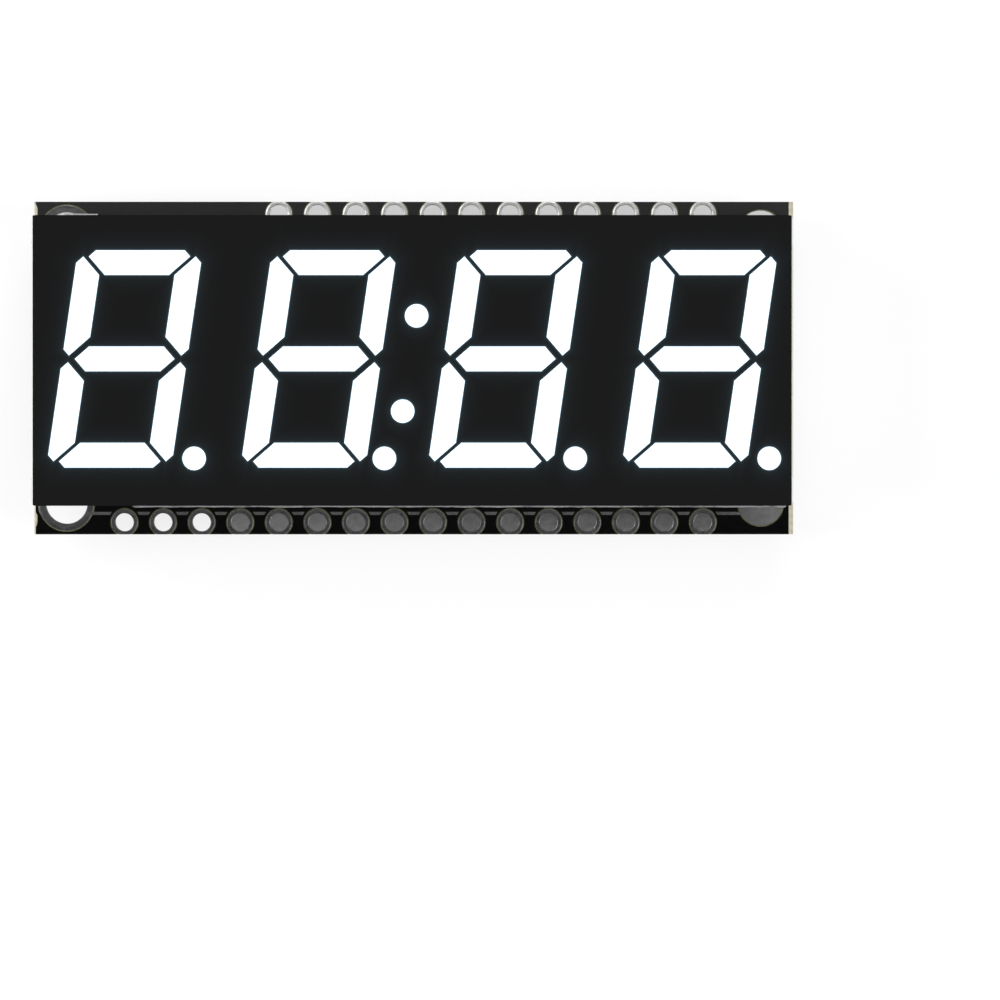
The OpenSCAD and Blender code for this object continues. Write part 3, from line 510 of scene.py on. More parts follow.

# %% [markdown]
# ## Metal
# Every metal here is tin in some state: tin flowed by hot air over the copper, solder that was
# molten a moment ago, and plated leads. They share one recipe and differ in how polished and how
# lumpy they are. The lumps matter most, because they break the mirror image into streaks. On the
# front the rings of the long row and of the mounting holes get a dark, dull copy of the tin, which is
# painted shade, and those of the short row a pale copy, which is painted light.

# %% Tin, solder and plated leads
def metal(name, dark, pale, rough, grain, depth):
    made = Finish(name, pale, metallic=1.0, roughness=rough)
    waves = made.noise(grain, 3, 0.55)
    dull = made.noise(grain * 4, 2, 0.6)
    made.colour(made.mix(waves * 0.6 + dull * 0.4, dark, pale))
    made.rough(dull * rough + rough * 0.5).bump(waves * 0.75 + dull * 0.12, depth)
    return made


tinned = metal("tinned_copper", (0.5, 0.5, 0.5), (0.78, 0.78, 0.77), 0.3, 2.2, 0.03)
# Two copies of the tin for the front rings: the pale one is painted light, the dark one painted shade.
lit_tin = metal("lit_tin", (0.4, 0.4, 0.395), (0.7, 0.7, 0.68), 0.5, 1.6, 0.02)
shaded_tin = metal("shaded_tin", (0.1, 0.1, 0.105), (0.24, 0.24, 0.24), 0.34, 1.6, 0.01)
solder = metal("solder", (0.62, 0.63, 0.64), (0.9, 0.91, 0.92), 0.1, 1.8, 0.05)
pin_metal = metal("pin_metal", (0.4, 0.35, 0.27), (0.66, 0.6, 0.49), 0.4, 6, 0.02)
lead_metal = metal("lead_metal", (0.55, 0.55, 0.56), (0.76, 0.77, 0.78), 0.28, 3, 0.015)
terminal = metal("end_terminal", (0.42, 0.42, 0.42), (0.66, 0.66, 0.65), 0.42, 5, 0.02)
coat(tinned, "header_row_16_plating", "header_row_12_plating", "mounting_hole_plating",
     "display_pin_plating", "driver_chip_pads", "capacitor_pads", "diode_pads",
     "address_resistor_pads", "bus_resistor_pads", "address_jumper_pads", "fiducial_dots")
coat(solder, "display_solder_front_row", "display_solder_rear_row", "driver_solder_front_row",
     "driver_solder_rear_row", "capacitor_solder", "diode_solder", "address_resistor_solder",
     "bus_resistor_solder")
coat(pin_metal, "display_pins_front_row", "display_pins_rear_row")
coat(lead_metal, "driver_leads_front_row", "driver_leads_rear_row", "diode_leads")
coat(terminal, "address_resistor_terminals", "bus_resistor_terminals", "capacitor_terminals")

# %% [markdown]
# ## Print
# The print is thick ink pressed through a fine mesh. Its edges are a little ragged and it is thin in
# spots, so the ink gets speckles from scattered cells. On the front the ink is coloured grey, which is
# painted shade, because it lies in the shade of the display.

# %% Printed ink
def ink(name, thin, full):
    made = Finish(name, full, roughness=0.6, specular_ior_level=0.3)
    mesh_marks = made.cells(11)
    wear = made.noise(3, 4, 0.65)
    made.colour(made.mix(mesh_marks.step(0.1, 0.5) * 0.5 + wear.step(0.35, 0.6) * 0.5, thin, full))
    made.rough(0.5 + wear * 0.3).bump(mesh_marks, 0.006)
    return made


white_print = ink("white_print", (0.5, 0.5, 0.49), (0.82, 0.82, 0.8))
coat(white_print, "chip_outline_print", "jumper_frame_print", "diode_print")
# The header line ink is coloured dark grey, which is painted shade.
coat(ink("grey_print", (0.035, 0.035, 0.035), (0.09, 0.09, 0.09)), "header_line_print")

# %% [markdown]
# ## The parts on the back
# The driver chip is moulded in black epoxy, with the satin grain of an eroded steel mould. Only its
# round dimple, where a pin pushed it out of the mould, is polished. The resistors are white ceramic
# chips under a glossy black glaze, and the capacitor is a plain brown ceramic. The diode is moulded
# like the chip.

# %% Chip, resistors, capacitor and diode
DIMPLE, DIMPLE_R = (7.69, -2.17), 0.565
epoxy = Finish("chip_black", (0.02, 0.02, 0.021), roughness=0.5, specular_ior_level=0.14)
speck = epoxy.noise(22, 3, 0.6)
shade = epoxy.noise(0.8, 2)
chip_x, chip_y, _ = epoxy.xyz()
off_x, off_y = chip_x - DIMPLE[0], chip_y - DIMPLE[1]
from_dimple = (off_x * off_x + off_y * off_y).root()
polished = 1 - from_dimple.step(DIMPLE_R * 0.9, DIMPLE_R)
satin = epoxy.mix(speck * 0.7 + shade * 0.3, (0.007, 0.007, 0.0075), (0.021, 0.021, 0.022))
epoxy.colour(epoxy.mix(polished, satin, (0.001, 0.001, 0.001)))
epoxy.rough(0.42 + speck * 0.2 - polished * 0.3).bump(speck * (1 - polished), 0.012)
coat(epoxy, "driver_chip_body", "diode_body")

ceramic = Finish("resistor_ceramic", (0.78, 0.77, 0.74), roughness=0.65, specular_ior_level=0.3)
chalk = ceramic.noise(7, 4, 0.65)
ceramic.colour(ceramic.mix(chalk, (0.66, 0.65, 0.61), (0.84, 0.83, 0.8))).bump(chalk, 0.008)
coat(ceramic, "address_resistor_bodies", "bus_resistor_bodies")

glaze = Finish("resistor_coat", (0.01, 0.01, 0.011), roughness=0.2, specular_ior_level=0.5)
ripple = glaze.noise(2.6, 2)
glaze.colour(glaze.mix(ripple, (0.006, 0.006, 0.007), (0.018, 0.018, 0.019)))
glaze.rough(0.15 + ripple * 0.15).bump(ripple, 0.015)
coat(glaze, "address_resistor_coats", "bus_resistor_coats")

brown = Finish("capacitor_ceramic", (0.3, 0.18, 0.1), roughness=0.55, specular_ior_level=0.35)
fired = brown.noise(4, 4, 0.6)
brown.colour(brown.mix(fired, (0.13, 0.1, 0.06), (0.24, 0.19, 0.12)))
brown.rough(0.45 + fired * 0.2).bump(fired, 0.01)
coat(brown, "capacitor_body")

# %% [markdown]
# ## Small irregular things
# The drawn pieces have ideal surfaces. What makes a soldered board look real is what happened to it
# afterwards: tin that beaded, flux that dried, a laminate edge that splintered. Each of these is a
# mesh of its own, made from a profile or an outline that is then pushed about by smooth noise.
#
# Three helpers do the work. `add_piece` turns a finished bmesh into an object that rides with the
# board, `ring_profile` spins a profile into a closed ring round an upright axis, and `wave` gives
# the same smooth random number for the same place every time.

# %% Helpers for new pieces
def add_piece(name, made, finish, smooth=True, replaces=()):
    """Makes an object at the origin from a bmesh whose points are in millimetres."""
    bmesh.ops.remove_doubles(made, verts=made.verts, dist=1e-5)
    bmesh.ops.recalc_face_normals(made, faces=made.faces)
    bmesh.ops.scale(made, vec=(MM, MM, MM), verts=made.verts)
    mesh = bpy.data.meshes.new(name)
    made.to_mesh(mesh)
    made.free()
    for polygon in mesh.polygons:
        polygon.use_smooth = smooth
    mesh.materials.append(finish.material)
    obj = bpy.data.objects.new(name, mesh)
    bpy.context.scene.collection.objects.link(obj)
    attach(obj, "root")
    if replaces:
        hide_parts(*replaces)
    triangles = sum(len(p.vertices) - 2 for p in mesh.polygons)
    print(name, "has", triangles, "triangles")


def ring_profile(made, profile, centre, steps=40, shape=None):
    """Spins a closed profile of (radius, height) pairs round the upright axis through centre.
    shape may then move each point: it gets and returns a point."""
    x, y = centre
    ring = bmesh.new()
    start = [ring.verts.new((x + r, y, z)) for r, z in profile]
    edges = [ring.edges.new((start[i], start[(i + 1) % len(start)])) for i in range(len(start))]
    bmesh.ops.spin(ring, geom=start + edges, cent=(x, y, 0), axis=(0, 0, 1),
                   angle=math.tau, steps=steps, use_merge=True)
    if shape:
        for vert in ring.verts:
            vert.co = shape(*vert.co)
    done = bpy.data.meshes.new("ring")
    ring.to_mesh(done)
    ring.free()
    made.from_mesh(done)
    bpy.data.meshes.remove(done)


def wave(x, y, z=0.0, size=1.0):
    """Smooth noise from -1 to 1; size is about how many millimetres one swell takes."""
    return noise.noise(Vector((x / size + 3.7, y / size - 8.1, z / size + 1.3)))


print("helpers ready; a test wave:", round(wave(1, 2), 3))

# %% [markdown]
# The places of the holes and pins come from the same grid as on the real board: 2.54 millimetres
# from one to the next, with the two header rows eight steps apart and the display's pins six.

# %% Places on the board
PITCH = 2.54
LONG_ROW = [((i - 7.5) * PITCH, -4 * PITCH) for i in range(16)]
SHORT_ROW = [((i - 7.5) * PITCH, 4 * PITCH) for i in range(4, 16)]
PLATED = [(-22.86, -8.89), (-22.86, 8.89)]
PIN_ROWS = {side: [((i - 3) * PITCH, side * 3 * PITCH) for i in range(7)] for side in (-1, 1)}
HOUSING_LOW, HOUSING_HIGH = [corner.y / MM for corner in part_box("display_housing")[:2]]
print("rows of", len(LONG_ROW), "and", len(SHORT_ROW), "holes; housing from", round(HOUSING_LOW, 2),
      "to", round(HOUSING_HIGH, 2))

# %% [markdown]
# ### The chip's moulding
# The moulded body keeps its drawn shape, but its flat top with the round dimple came in as long thin
# triangles, which shade badly. A copy of it is merged into clean flat faces, and its rim gets the
# small round edge that a mould leaves.

# %% The chip's moulding
def copy_of(*names):
    """A bmesh in millimetres with the shapes of the named pieces, merged from loose triangles."""
    made = bmesh.new()
    for name in names:
        made.from_mesh(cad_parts[name].data)
    bmesh.ops.scale(made, vec=(1 / MM, 1 / MM, 1 / MM), verts=made.verts)
    bmesh.ops.remove_doubles(made, verts=made.verts, dist=1e-4)
    return made


RIM_RADIUS, LONG_EDGE, FLAT = 0.07, 2, math.radians(1)
moulding = copy_of("driver_chip_body")
bmesh.ops.dissolve_limit(moulding, angle_limit=FLAT, verts=moulding.verts, edges=moulding.edges)
CHIP_TOP = min(v.co.z for v in moulding.verts)
chip_rim = [e for e in moulding.edges if e.calc_length() > LONG_EDGE
            and all(v.co.z < CHIP_TOP + 0.01 for v in e.verts) and len(e.link_faces) == 2
            and e.calc_face_angle(0) > 0.2]
bmesh.ops.bevel(moulding, geom=chip_rim, offset=RIM_RADIUS, segments=3, profile=0.5, affect="EDGES",
                material=-1)
print("rounded", len(chip_rim), "edges of the chip")
add_piece("driver_chip_moulding", moulding, epoxy, smooth=False, replaces=("driver_chip_body",))

# %% [markdown]
# ### Lumpy solder
# Solder on small parts isn't flat: it froze with swells and hollows, and those are what turn its
# reflections into bright and dark streaks. Each drawn fillet is cut into small faces, smoothed a
# little, and pushed about along its own normals. Points that sit on the board stay where they are.

# %% Lumpy solder and terminals
def molten(name, finish, nodes, swell=0.03, longest=0.12, size=0.3):
    """Replaces nodes by a lumpy copy with no edge over longest; size is that of the lumps."""
    made = copy_of(*nodes)
    for _ in range(5):
        long = [e for e in made.edges if e.calc_length() > longest]
        if not long:
            break
        bmesh.ops.subdivide_edges(made, edges=long, cuts=1, use_grid_fill=True)
        bmesh.ops.triangulate(made, faces=made.faces)
    bmesh.ops.recalc_face_normals(made, faces=made.faces)
    free = [v for v in made.verts if v.co.z < BACK_Z - 0.02]
    for _ in range(3):
        bmesh.ops.smooth_vert(made, verts=free, factor=0.5, use_axis_x=True, use_axis_y=True, use_axis_z=True)
    made.normal_update()
    for vert in free:
        x, y, z = vert.co
        vert.co = vert.co + vert.normal * swell * (wave(x, y, z, size) - 0.1 + 0.4 * wave(y, z, x, size / 3))
    add_piece(name, made, finish, replaces=nodes)


molten("driver_lead_solder", solder, ("driver_solder_front_row", "driver_solder_rear_row"))
molten("small_part_solder", solder,
       ("capacitor_solder", "diode_solder", "address_resistor_solder", "bus_resistor_solder"))
molten("end_terminal_tin", terminal,
       ("address_resistor_terminals", "bus_resistor_terminals", "capacitor_terminals"), swell=0.02)

# %% [markdown]
# ### Solder domes
# The display's pins were soldered by hand on the back. Molten solder climbs each pin and freezes into
# a dome with faint folds that run down from the pin, because the outside cools first. The profile of
# a joint is spun round its pin, and the dome's points are then moved in and out along those folds.
# The joint also fills the hole and shows as a low fillet on the front, under the display.

# %% Solder domes of the display's pins
DOME_R, DOME_H, PIN_R, BORE_R = 0.95, 0.95, 0.25, 0.45


def dome_profile():
    arc = []
    for i in range(13):
        t = i / 12
        angle = t * math.pi / 2
        arc.append((PIN_R + (DOME_R - PIN_R) * math.sin(angle) ** 0.9,
                    BACK_Z - DOME_H * math.cos(angle) ** 1.15))
    wall = [(BORE_R, BACK_Z), (BORE_R, FRONT_Z), (0.7, FRONT_Z), (0.42, FRONT_Z + 0.1),
            (PIN_R, FRONT_Z + 0.25)]
    return arc + wall


def folded(x, y, z):
    """A point of a dome, moved along the folds that run down from the pin."""
    cx, cy = round(x / PITCH) * PITCH, math.copysign(3 * PITCH, y)
    dx, dy = x - cx, y - cy
    r = math.hypot(dx, dy)
    if z > BACK_Z - 1e-4 or r < PIN_R + 0.01:
        return x, y, z
    turn = math.atan2(dy, dx)
    folds = wave(math.cos(turn) * 1.6 + cx, math.sin(turn) * 1.6 + cy, 0.25 * r, 0.42)
    swell = wave(x, y, z, 0.7)
    drop = (BACK_Z - z) / DOME_H
    push = 1 + (0.11 * folds + 0.05 * swell) * min(1, 2.5 * drop) * min(1, (r - PIN_R) * 5)
    return cx + dx * push, cy + dy * push, BACK_Z - (BACK_Z - z) * (1 + 0.04 * swell * (1 - drop))


for side, name in ((-1, "display_solder_front_row"), (1, "display_solder_rear_row")):
    joints = bmesh.new()
    for centre in PIN_ROWS[side]:
        ring_profile(joints, dome_profile(), centre, 48, folded)
    add_piece(name.replace("display_solder", "solder_domes"), joints, solder, replaces=(name,))

# %% [markdown]
# ### Tin on the rings
# Hot air levelling leaves a thin bulge of tin on every ring: high in the middle of the copper and
# The bulge catches the light as a bright line along the ring. It is spun
# like the domes, kept off the board's edge, and flattened where the display covers the ring. On the
# front it is lower, and lowest on the rings with the dark copy of the tin, the painted shade.

# %% Tin on the header rings and the mounting rings
HEADER_RING, MOUNTING_RING = (0.6, 0.865), (1.375, 1.82)
BACK_BULGE, LIT_RING_BULGE, SHADED_RING_BULGE = 0.055, 0.05, 0.01


def tin_ring(made, centre, radii, z, away, bulge):
    """A low bulge between two radii, standing on height z and pointing away from the board."""
    inner, outer = radii
    width = outer - inner
    top = [(inner + width * t, z + away * (0.006 + bulge * math.sin(math.pi * t) ** 0.7))
           for t in (0.04, 0.12, 0.24, 0.4, 0.6, 0.78, 0.9, 0.96)]

    def uneven(x, y, height):
        rise = (height - z) * (1 + 0.35 * wave(x, y, 0, 0.5))
        if away > 0 and HOUSING_LOW < y + 0.02 and y - 0.02 < HOUSING_HIGH:
            rise = 0
        return max(-BOARD_X + 0.3, x), max(-BOARD_Y, min(BOARD_Y, y)), z + rise

    ring_profile(made, [(inner, z)] + top + [(outer, z)], centre, 44, uneven)


tinning = bmesh.new()
for centre in LONG_ROW + SHORT_ROW:
    tin_ring(tinning, centre, HEADER_RING, BACK_Z, -1, BACK_BULGE)
add_piece("header_ring_tin", tinning, tinned)
for name, row, finish, bulge in (("front_long_row_tin", LONG_ROW, shaded_tin, SHADED_RING_BULGE),
                                 ("front_short_row_tin", SHORT_ROW, lit_tin, LIT_RING_BULGE)):
    tinning = bmesh.new()
    for centre in row:
        tin_ring(tinning, centre, HEADER_RING, FRONT_Z, 1, bulge)
    add_piece(name, tinning, finish)
for name, finish, z, away, bulge in (("mounting_ring_tin", tinned, BACK_Z, -1, BACK_BULGE),
                                     ("front_mounting_ring_tin", shaded_tin, FRONT_Z, 1, SHADED_RING_BULGE)):
    tinning = bmesh.new()
    for centre in PLATED:
        tin_ring(tinning, centre, MOUNTING_RING, z, away, bulge)
    add_piece(name, tinning, finish)

# %% [markdown]
# ### Flux and tin beads
# Flux boils out of a joint and dries as a glossy skin with a wavy rim. Each patch is a set of closed
# rings of points round its pin, thick near the joint and thin at the rim. On the two placing marks the
# tin pulled itself into a lens, and so it did on the jumper pads, though less evenly.

# %% Dried flux, and beads on the placing marks
flux = Finish("flux_residue", (0.004, 0.004, 0.004), roughness=0.08, specular_ior_level=0.6)
dried = flux.noise(1.8, 3)
flux.colour(flux.mix(dried, (0.003, 0.003, 0.003), (0.02, 0.017, 0.012)))
flux.rough(0.04 + dried * 0.16).bump(dried, 0.02)

SKIN_START, SKIN_RIM, SKIN_SPREAD, SKIN_H = 0.9, 1.16, 0.16, 0.03


def flux_patch(made, centre, seed):
    """A low skin round a joint, with a rim that wanders."""
    cx, cy = centre
    rows, steps = 5, 48
    rings = []
    for k in range(rows + 1):
        t = k / rows
        ring = []
        for i in range(steps):
            turn = math.tau * i / steps
            edge = SKIN_RIM + SKIN_SPREAD * wave(math.cos(turn) + seed, math.sin(turn) - seed, 0, 0.8)
            r = SKIN_START + (edge - SKIN_START) * t
            x, y = cx + r * math.cos(turn), cy + r * math.sin(turn)
            height = SKIN_H * (1 - t ** 3) * (1 + 0.5 * wave(x, y, seed, 0.4))
            ring.append(made.verts.new((x, y, BACK_Z - height)))
        rings.append(ring)
    foot = [made.verts.new((v.co.x, v.co.y, BACK_Z)) for v in rings[0]]
    for a, b in zip([foot] + rings, rings + [foot]):
        for i in range(steps):
            made.faces.new((a[i], a[(i + 1) % steps], b[(i + 1) % steps], b[i]))


patches = bmesh.new()
for side in (-1, 1):
    for i, centre in enumerate(PIN_ROWS[side]):
        flux_patch(patches, centre, 10 * side + i * 3.3)
add_piece("flux_residue", patches, flux)

PLACING_MARKS = [(20.13, -7.77), (-20.3, 10.3)]
BEAD = [(0.001, 0.17), (0.16, 0.165), (0.3, 0.145), (0.42, 0.1), (0.5, 0.035), (0.523, 0), (0.3, 0),
        (0.001, 0)]
beads = bmesh.new()
for centre in PLACING_MARKS:
    ring_profile(beads, [(r, BACK_Z - h) for r, h in BEAD], centre, 40)
add_piece("fiducial_beads", beads, solder)

JUMPER_X, ADDRESS_PITCH = 21.83, 2.72
PAD_X, PAD_HALF_W, PAD_HALF_H = 0.785, 0.575, 0.74
lumps = bmesh.new()
for i in (-1, 0, 1):
    for half in (-1, 1):
        cx, cy = JUMPER_X + half * PAD_X, i * ADDRESS_PITCH
        made = bmesh.ops.create_grid(lumps, x_segments=24, y_segments=30, size=0.5)["verts"]
        for vert in made:
            u, v = vert.co.x * 2, vert.co.y * 2
            dome = (1 - u ** 6) * (1 - v ** 6)
            x, y = cx + u * PAD_HALF_W, cy + v * PAD_HALF_H
            rough_lift = 0.05 * wave(x, y, i, 0.22) + 0.03 * wave(y, x, i, 0.1)
            vert.co = (x, y, BACK_Z - dome * (0.06 + rough_lift))
bmesh.ops.holes_fill(lumps, edges=[e for e in lumps.edges if e.is_boundary])
add_piece("jumper_pad_tin", lumps, tinned)

# %% [markdown]
# ### Tracks under the mask
# The copper tracks lie under the lacquer and lift it a little, so they show only as faint ridges
# where light grazes the board. A track is drawn as a line of points; strips are laid along it with
# sloped shoulders. Round each ring the ground copper stops short, which leaves a faint circle.

# %% Ridges of the copper tracks
TRACK_W, TRACK_H = 0.28, 0.028


def track(made, points, width=TRACK_W):
    """A ridge along a line of (x, y) points on the back of the board."""
    points = [Vector((*p, 0)) for p in points]
    rows = []
    for i, point in enumerate(points):
        before = (point - points[i - 1]).normalized() if i else None
        after = (points[i + 1] - point).normalized() if i + 1 < len(points) else None
        along = ((before or after) + (after or before)).normalized()
        across = Vector((-along.y, along.x, 0))
        bend = 1 / max(0.5, across.dot(Vector((-(after or before).y, (after or before).x, 0))))
        row = [(-0.5 - 0.12, 0), (-0.5 + 0.1, TRACK_H), (0.5 - 0.1, TRACK_H), (0.5 + 0.12, 0)]
        rows.append([made.verts.new((point + across * o * width * bend) + Vector((0, 0, BACK_Z - h)))
                     for o, h in row])
    for a, b in zip(rows, rows[1:]):
        for k in range(4):
            made.faces.new((a[k], a[(k + 1) % 4], b[(k + 1) % 4], b[k]))
    for end in (rows[0], rows[-1]):
        made.faces.new(end)


ridges = bmesh.new()
track(ridges, [(-10.4, 8.2), (-10.4, 1.0), (-9.62, 0.2), (-9.62, -1.3)])
track(ridges, [(-9.9, 8.2), (-9.9, 1.6), (-9.9, 1.2)])
track(ridges, [(9.1, 7.95), (15.4, 7.95), (18.05, 5.23), (23.2, 5.23), (24.3, 4.13)])
track(ridges, [(9.1, 8.4), (15.6, 8.4), (18.3, 5.7), (23.4, 5.7), (24.3, 4.8)])
track(ridges, [(10.1, -7.15), (13.1, -3.83), (15.9, -3.83)])
track(ridges, [(13.7, -4.35), (21.4, -4.35), (22.3, -3.9)])
track(ridges, [(9.6, -2.6), (12.9, -2.6), (13.5, -2.0), (13.5, -0.7)])
track(ridges, [(13.4, 2.3), (13.4, 3.4)])
track(ridges, [(10.45, 2.35), (10.45, 3.2)])
for x, y in LONG_ROW[2:14]:
    track(ridges, [(x, y + 1.05), (x, y + 2.2 + 0.5 * wave(x, 0, 0, 3))], 0.2)
for x, y in SHORT_ROW[:7]:
    track(ridges, [(x, y - 1.05), (x, y - 1.9 - 0.4 * wave(x, 5, 0, 3))], 0.2)
add_piece("copper_track_ridges", ridges, mask, smooth=False)

MASK_X, MASK_Y = 24.65, 10.9


def on_the_board(x, y, z):
    """Keeps a point within the lacquer, which stops short of the board's edges."""
    return max(-MASK_X, min(MASK_X, x)), max(-MASK_Y, min(MASK_Y, y)), z


circles = bmesh.new()
CLEARANCES = [(c, 2.18) for c in PLATED] + [((22.86, s * 8.89), 1.95) for s in (-1, 1)]
CLEARANCES += [(c, 1.22) for side in (-1, 1) for c in PIN_ROWS[side]]
for centre, r in CLEARANCES:
    ridge = [(r, BACK_Z), (r + 0.04, BACK_Z - 0.022), (r + 0.1, BACK_Z - 0.022), (r + 0.14, BACK_Z)]
    ring_profile(circles, ridge, centre, 56, on_the_board)
add_piece("copper_clearance_circles", circles, mask)

# %% [markdown]
# Vias are the small plated holes that join the tracks of the two sides. Lacquer has run into them,
# so each is a low ring with a dimple.

# %% Vias
VIAS = [(-9.62, -1.58), (10.45, 2.35), (22.74, 4.29), (15.9, -3.83)]
DIMPLED = [(0.001, 0.002), (0.1, 0.004), (0.15, 0.028), (0.22, 0.036), (0.3, 0.03), (0.37, 0), (0.001, 0)]
vias = bmesh.new()
for centre in VIAS:
    ring_profile(vias, [(r, BACK_Z - h) for r, h in DIMPLED], centre, 28)
add_piece("tented_vias", vias, mask)

# %% [markdown]
# ### Printed numbers
# The resistors carry their value as three figures: the last one is the number of noughts. The three
# jumpers are numbered. Plain figures are cut from Blender's own font, turned into a mesh, and turned
# over, because they are read from the back. One resistor of each kind was placed the other way round.

# %% Figures on the resistors and beside the jumpers
NARROW, INK = 0.78, 0.006
VALUE_HEIGHT, NUMBER_HEIGHT, NUMBER_X = 0.64, 0.85, 24.22
INTO_GLAZE, INTO_MASK = 0.004, 0.008


def figures(name, text, height, places, z):
    """Prints a text at (x, y, turn) places. It reads upright from the back at turn 0."""
    curve = bpy.data.curves.new(name, "FONT")
    curve.body = text
    curve.align_x, curve.align_y = "CENTER", "CENTER"
    curve.size = 1.0
    curve.extrude = INK
    curve.resolution_u = 4
    holder = bpy.data.objects.new(name, curve)
    flat = bpy.data.meshes.new_from_object(holder)
    bpy.data.objects.remove(holder)
    points = [v.co.copy() for v in flat.vertices]
    middle = Vector([(min(p[i] for p in points) + max(p[i] for p in points)) / 2 for i in range(3)])
    size = height / (max(p.y for p in points) - min(p.y for p in points))
    centred = Matrix.Diagonal((size * NARROW, size, 1, 1)) @ Matrix.Translation(-middle)
    every = bmesh.new()
    for x, y, turn in places:
        turned = Euler((math.pi, 0, math.radians(turn))).to_matrix().to_4x4()
        one = flat.copy()
        one.transform(Matrix.Translation((x, y, z)) @ turned @ centred)
        every.from_mesh(one)
    return every


RESISTOR_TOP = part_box("address_resistor_coats")[0].z / MM - INTO_GLAZE
ADDRESS_X, BUS_X, BUS_Y, BUS_PITCH = 17.82, 11.71, 4.97, 1.78
address_places = [(ADDRESS_X, -ADDRESS_PITCH, 0), (ADDRESS_X, 0, 180), (ADDRESS_X, ADDRESS_PITCH, 0)]
bus_places = [(BUS_X, BUS_Y - BUS_PITCH / 2, 0), (BUS_X, BUS_Y + BUS_PITCH / 2, 180)]
prints = [("address_resistor_figures", "473", VALUE_HEIGHT, address_places, RESISTOR_TOP),
          ("bus_resistor_figures", "103", VALUE_HEIGHT, bus_places, RESISTOR_TOP)]
for number in range(3):
    place = (NUMBER_X, (number - 1) * ADDRESS_PITCH, 90)
    prints.append((f"jumper_figure_{number}", str(number), NUMBER_HEIGHT, [place], BACK_Z - INTO_MASK))
for name, *words in prints:
    add_piece(name, figures(name, *words), white_print, smooth=False)

# %% [markdown]
# ### The housing's foot
# Where the mould closed, a thin lip of plastic was squeezed out along the foot of the housing. Seen
# from the front it is the thin grey line below the display, and a short stretch above it at the left.
# The lip is a strip whose outer edge wanders. Its plastic is coloured dark grey, which is painted
# shade, with lighter streaks that are painted highlights.

# %% Flash along the housing's foot
STEPS = 260
LIP_W, LIP_ROOT, LIP_LOW, LIP_HIGH = 0.17, 0.02, 0.04, 0.16
LIPS = [(-18.6, 24.6, HOUSING_LOW, -1), (-23.0, -20.8, HOUSING_HIGH, 1)]
flash = bmesh.new()
for start, end, edge, way in LIPS:
    rows = []
    for i in range(STEPS + 1):
        x = start + (end - start) * i / STEPS
        width = LIP_W + 0.035 * wave(x, way, 0, 0.9) + 0.02 * wave(x, way, 5, 0.2)
        if i in (0, STEPS):
            width = LIP_ROOT
        low, high = FRONT_Z + LIP_LOW, FRONT_Z + LIP_HIGH + 0.03 * wave(x, way, 9, 0.7)
        root, tip, shoulder = edge - way * LIP_ROOT, edge + way * width, edge + way * width * 0.6
        section = ((root, low), (tip, low), (tip, (low + high) / 2), (shoulder, high), (root, high))
        rows.append([flash.verts.new((x, y, z)) for y, z in section])
    for a, b in zip(rows, rows[1:]):
        for k in range(5):
            flash.faces.new((a[k], a[(k + 1) % 5], b[(k + 1) % 5], b[k]))
    for row in (rows[0], rows[-1]):
        flash.faces.new(row)
# The lip's dark grey is painted shade, and its lighter streaks are painted highlights.
grey_plastic = Finish("shaded_plastic", (0.1, 0.1, 0.1), roughness=0.3, specular_ior_level=0.4)
highlight_streak = grey_plastic.noise(1.2, 3, 0.6, stretch=(1, 0.3, 0.3))
grey_plastic.colour(grey_plastic.mix(highlight_streak.step(0.2, 0.6), (0.1, 0.1, 0.1), (0.34, 0.34, 0.34)))
grey_plastic.rough(0.25 + highlight_streak * 0.2)
add_piece("housing_foot_flash", flash, grey_plastic)

# %% [markdown]
# ### The broken edge of the laminate
# The boards were made many to a panel, scored and snapped apart. Along both short ends the glass
# fibres tore unevenly. Small slivers lie along the thin web that broke and along the scored slopes,
# and two chips of lacquer are gone from the corners at the left.

# %% Torn fibres and chipped corners
bare_laminate = laminate("bare_laminate", (0.3, 0.27, 0.18), (0.66, 0.62, 0.5))


def sliver(made, points, lift):
    """A thin three or four cornered flake: its outline and a raised middle."""
    rim = [made.verts.new(p) for p in points]
    middle = made.verts.new(sum((Vector(p) for p in points), Vector()) / len(points) + Vector(lift))
    for i in range(len(rim)):
        made.faces.new((rim[i], rim[(i + 1) % len(rim)], middle))
    made.faces.new(rim[::-1])


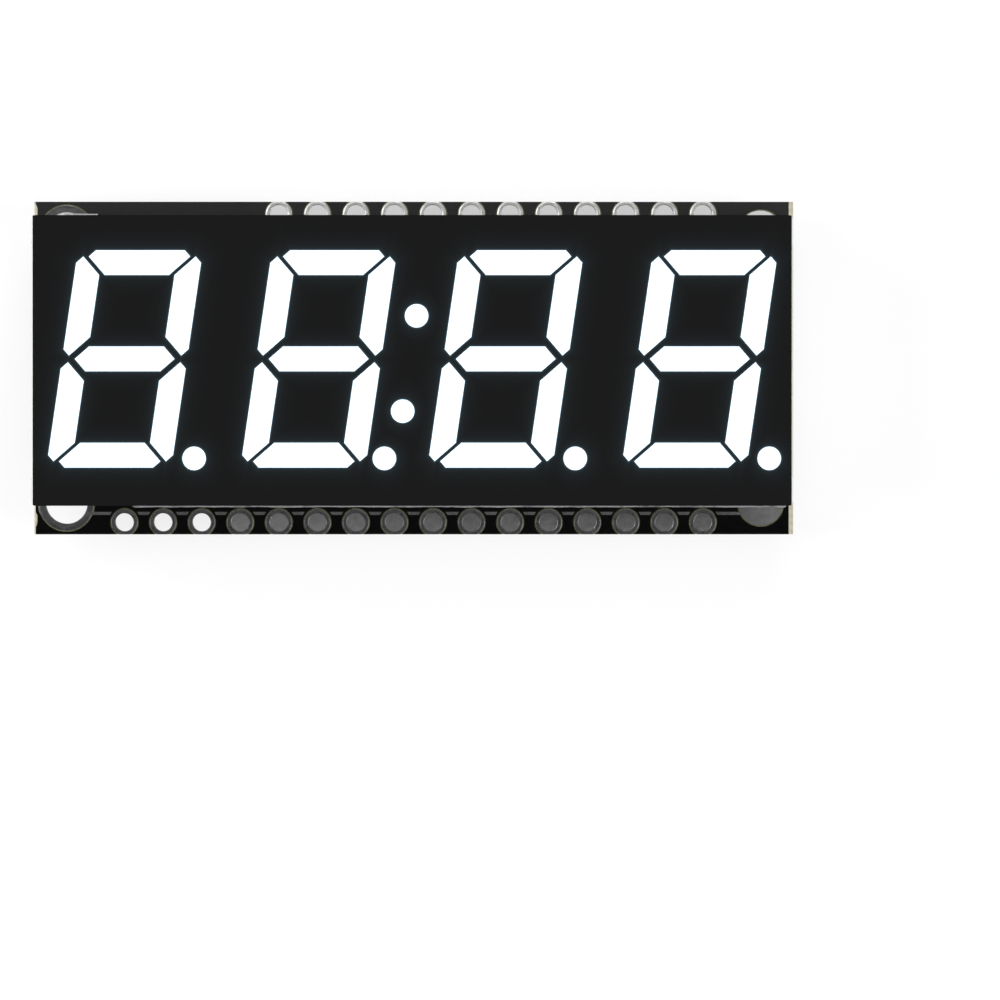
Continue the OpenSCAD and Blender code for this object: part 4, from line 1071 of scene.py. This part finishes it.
WEB = 0.6
CORE_LOW = (BACK_Z + FRONT_Z - WEB) / 2
SPAN = 21.4
END_THREADS, SLOPE_THREADS = 150, 110
fibres = bmesh.new()
for end in (-1, 1):
    for i in range(END_THREADS):
        y = -SPAN / 2 + SPAN * (i + 0.5 * wave(i * 1.7, end, 0, 1)) / END_THREADS
        z = CORE_LOW + 0.08 + 0.44 * (0.5 + 0.5 * math.sin(i * 2.399))
        long = 0.18 + 0.16 * abs(wave(i * 0.9, 4, end, 1))
        x = end * (BOARD_X - 0.035)
        sliver(fibres, [(x, y - long, z - 0.03), (x, y + long, z - 0.02), (x, y + long * 0.6, z + 0.04),
                        (x, y - long * 0.7, z + 0.03)], (end * 0.034, 0, 0))
    for i in range(SLOPE_THREADS):
        y = -SPAN / 2 + SPAN * (i + 0.6 * wave(i * 2.3, end, 7, 1)) / SLOPE_THREADS
        t = 0.15 + 0.7 * (0.5 + 0.5 * math.sin(i * 1.618 + end))
        x, z = end * (24.7 + 0.3 * t), BACK_Z + 0.05 + (CORE_LOW - BACK_Z - 0.05) * t
        long = 0.14 + 0.2 * abs(wave(i * 1.3, 9, end, 1))
        sliver(fibres, [(x - end * 0.03, y - long, z - 0.05), (x, y + long, z),
                        (x + end * 0.02, y - long * 0.5, z + 0.04)], (end * 0.02, 0, -0.03))
add_piece("torn_laminate_fibres", fibres, bare_laminate, smooth=False)

CHIP_X, CHIP_R, CHIP_LIFT = -24.93, 0.34, 0.004
chips = bmesh.new()
for cy in (-9.95, 10.35):
    outline = []
    for i in range(10):
        turn = math.pi * (i / 9 - 0.5)
        r = CHIP_R * (1 + 0.35 * wave(i * 1.9, cy, 0, 1))
        x, y = CHIP_X + 0.45 * r * math.cos(turn), cy + 1.3 * r * math.sin(turn)
        outline.append((x, y, FRONT_Z + CHIP_LIFT))
    sliver(chips, outline, (0, 0, 0.006))
add_piece("chipped_corners", chips, bare_laminate, smooth=False)

# %% [markdown]
# ## Picture settings
# The colours are shown as they are, with no film look. Loaded pieces that got no finish are listed.

# %% Finish
bpy.context.scene.view_settings.view_transform = "Standard"
bare = [n for n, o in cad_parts.items() if not o.hide_render and not o.data.materials]
print("pieces with no finish:", bare)
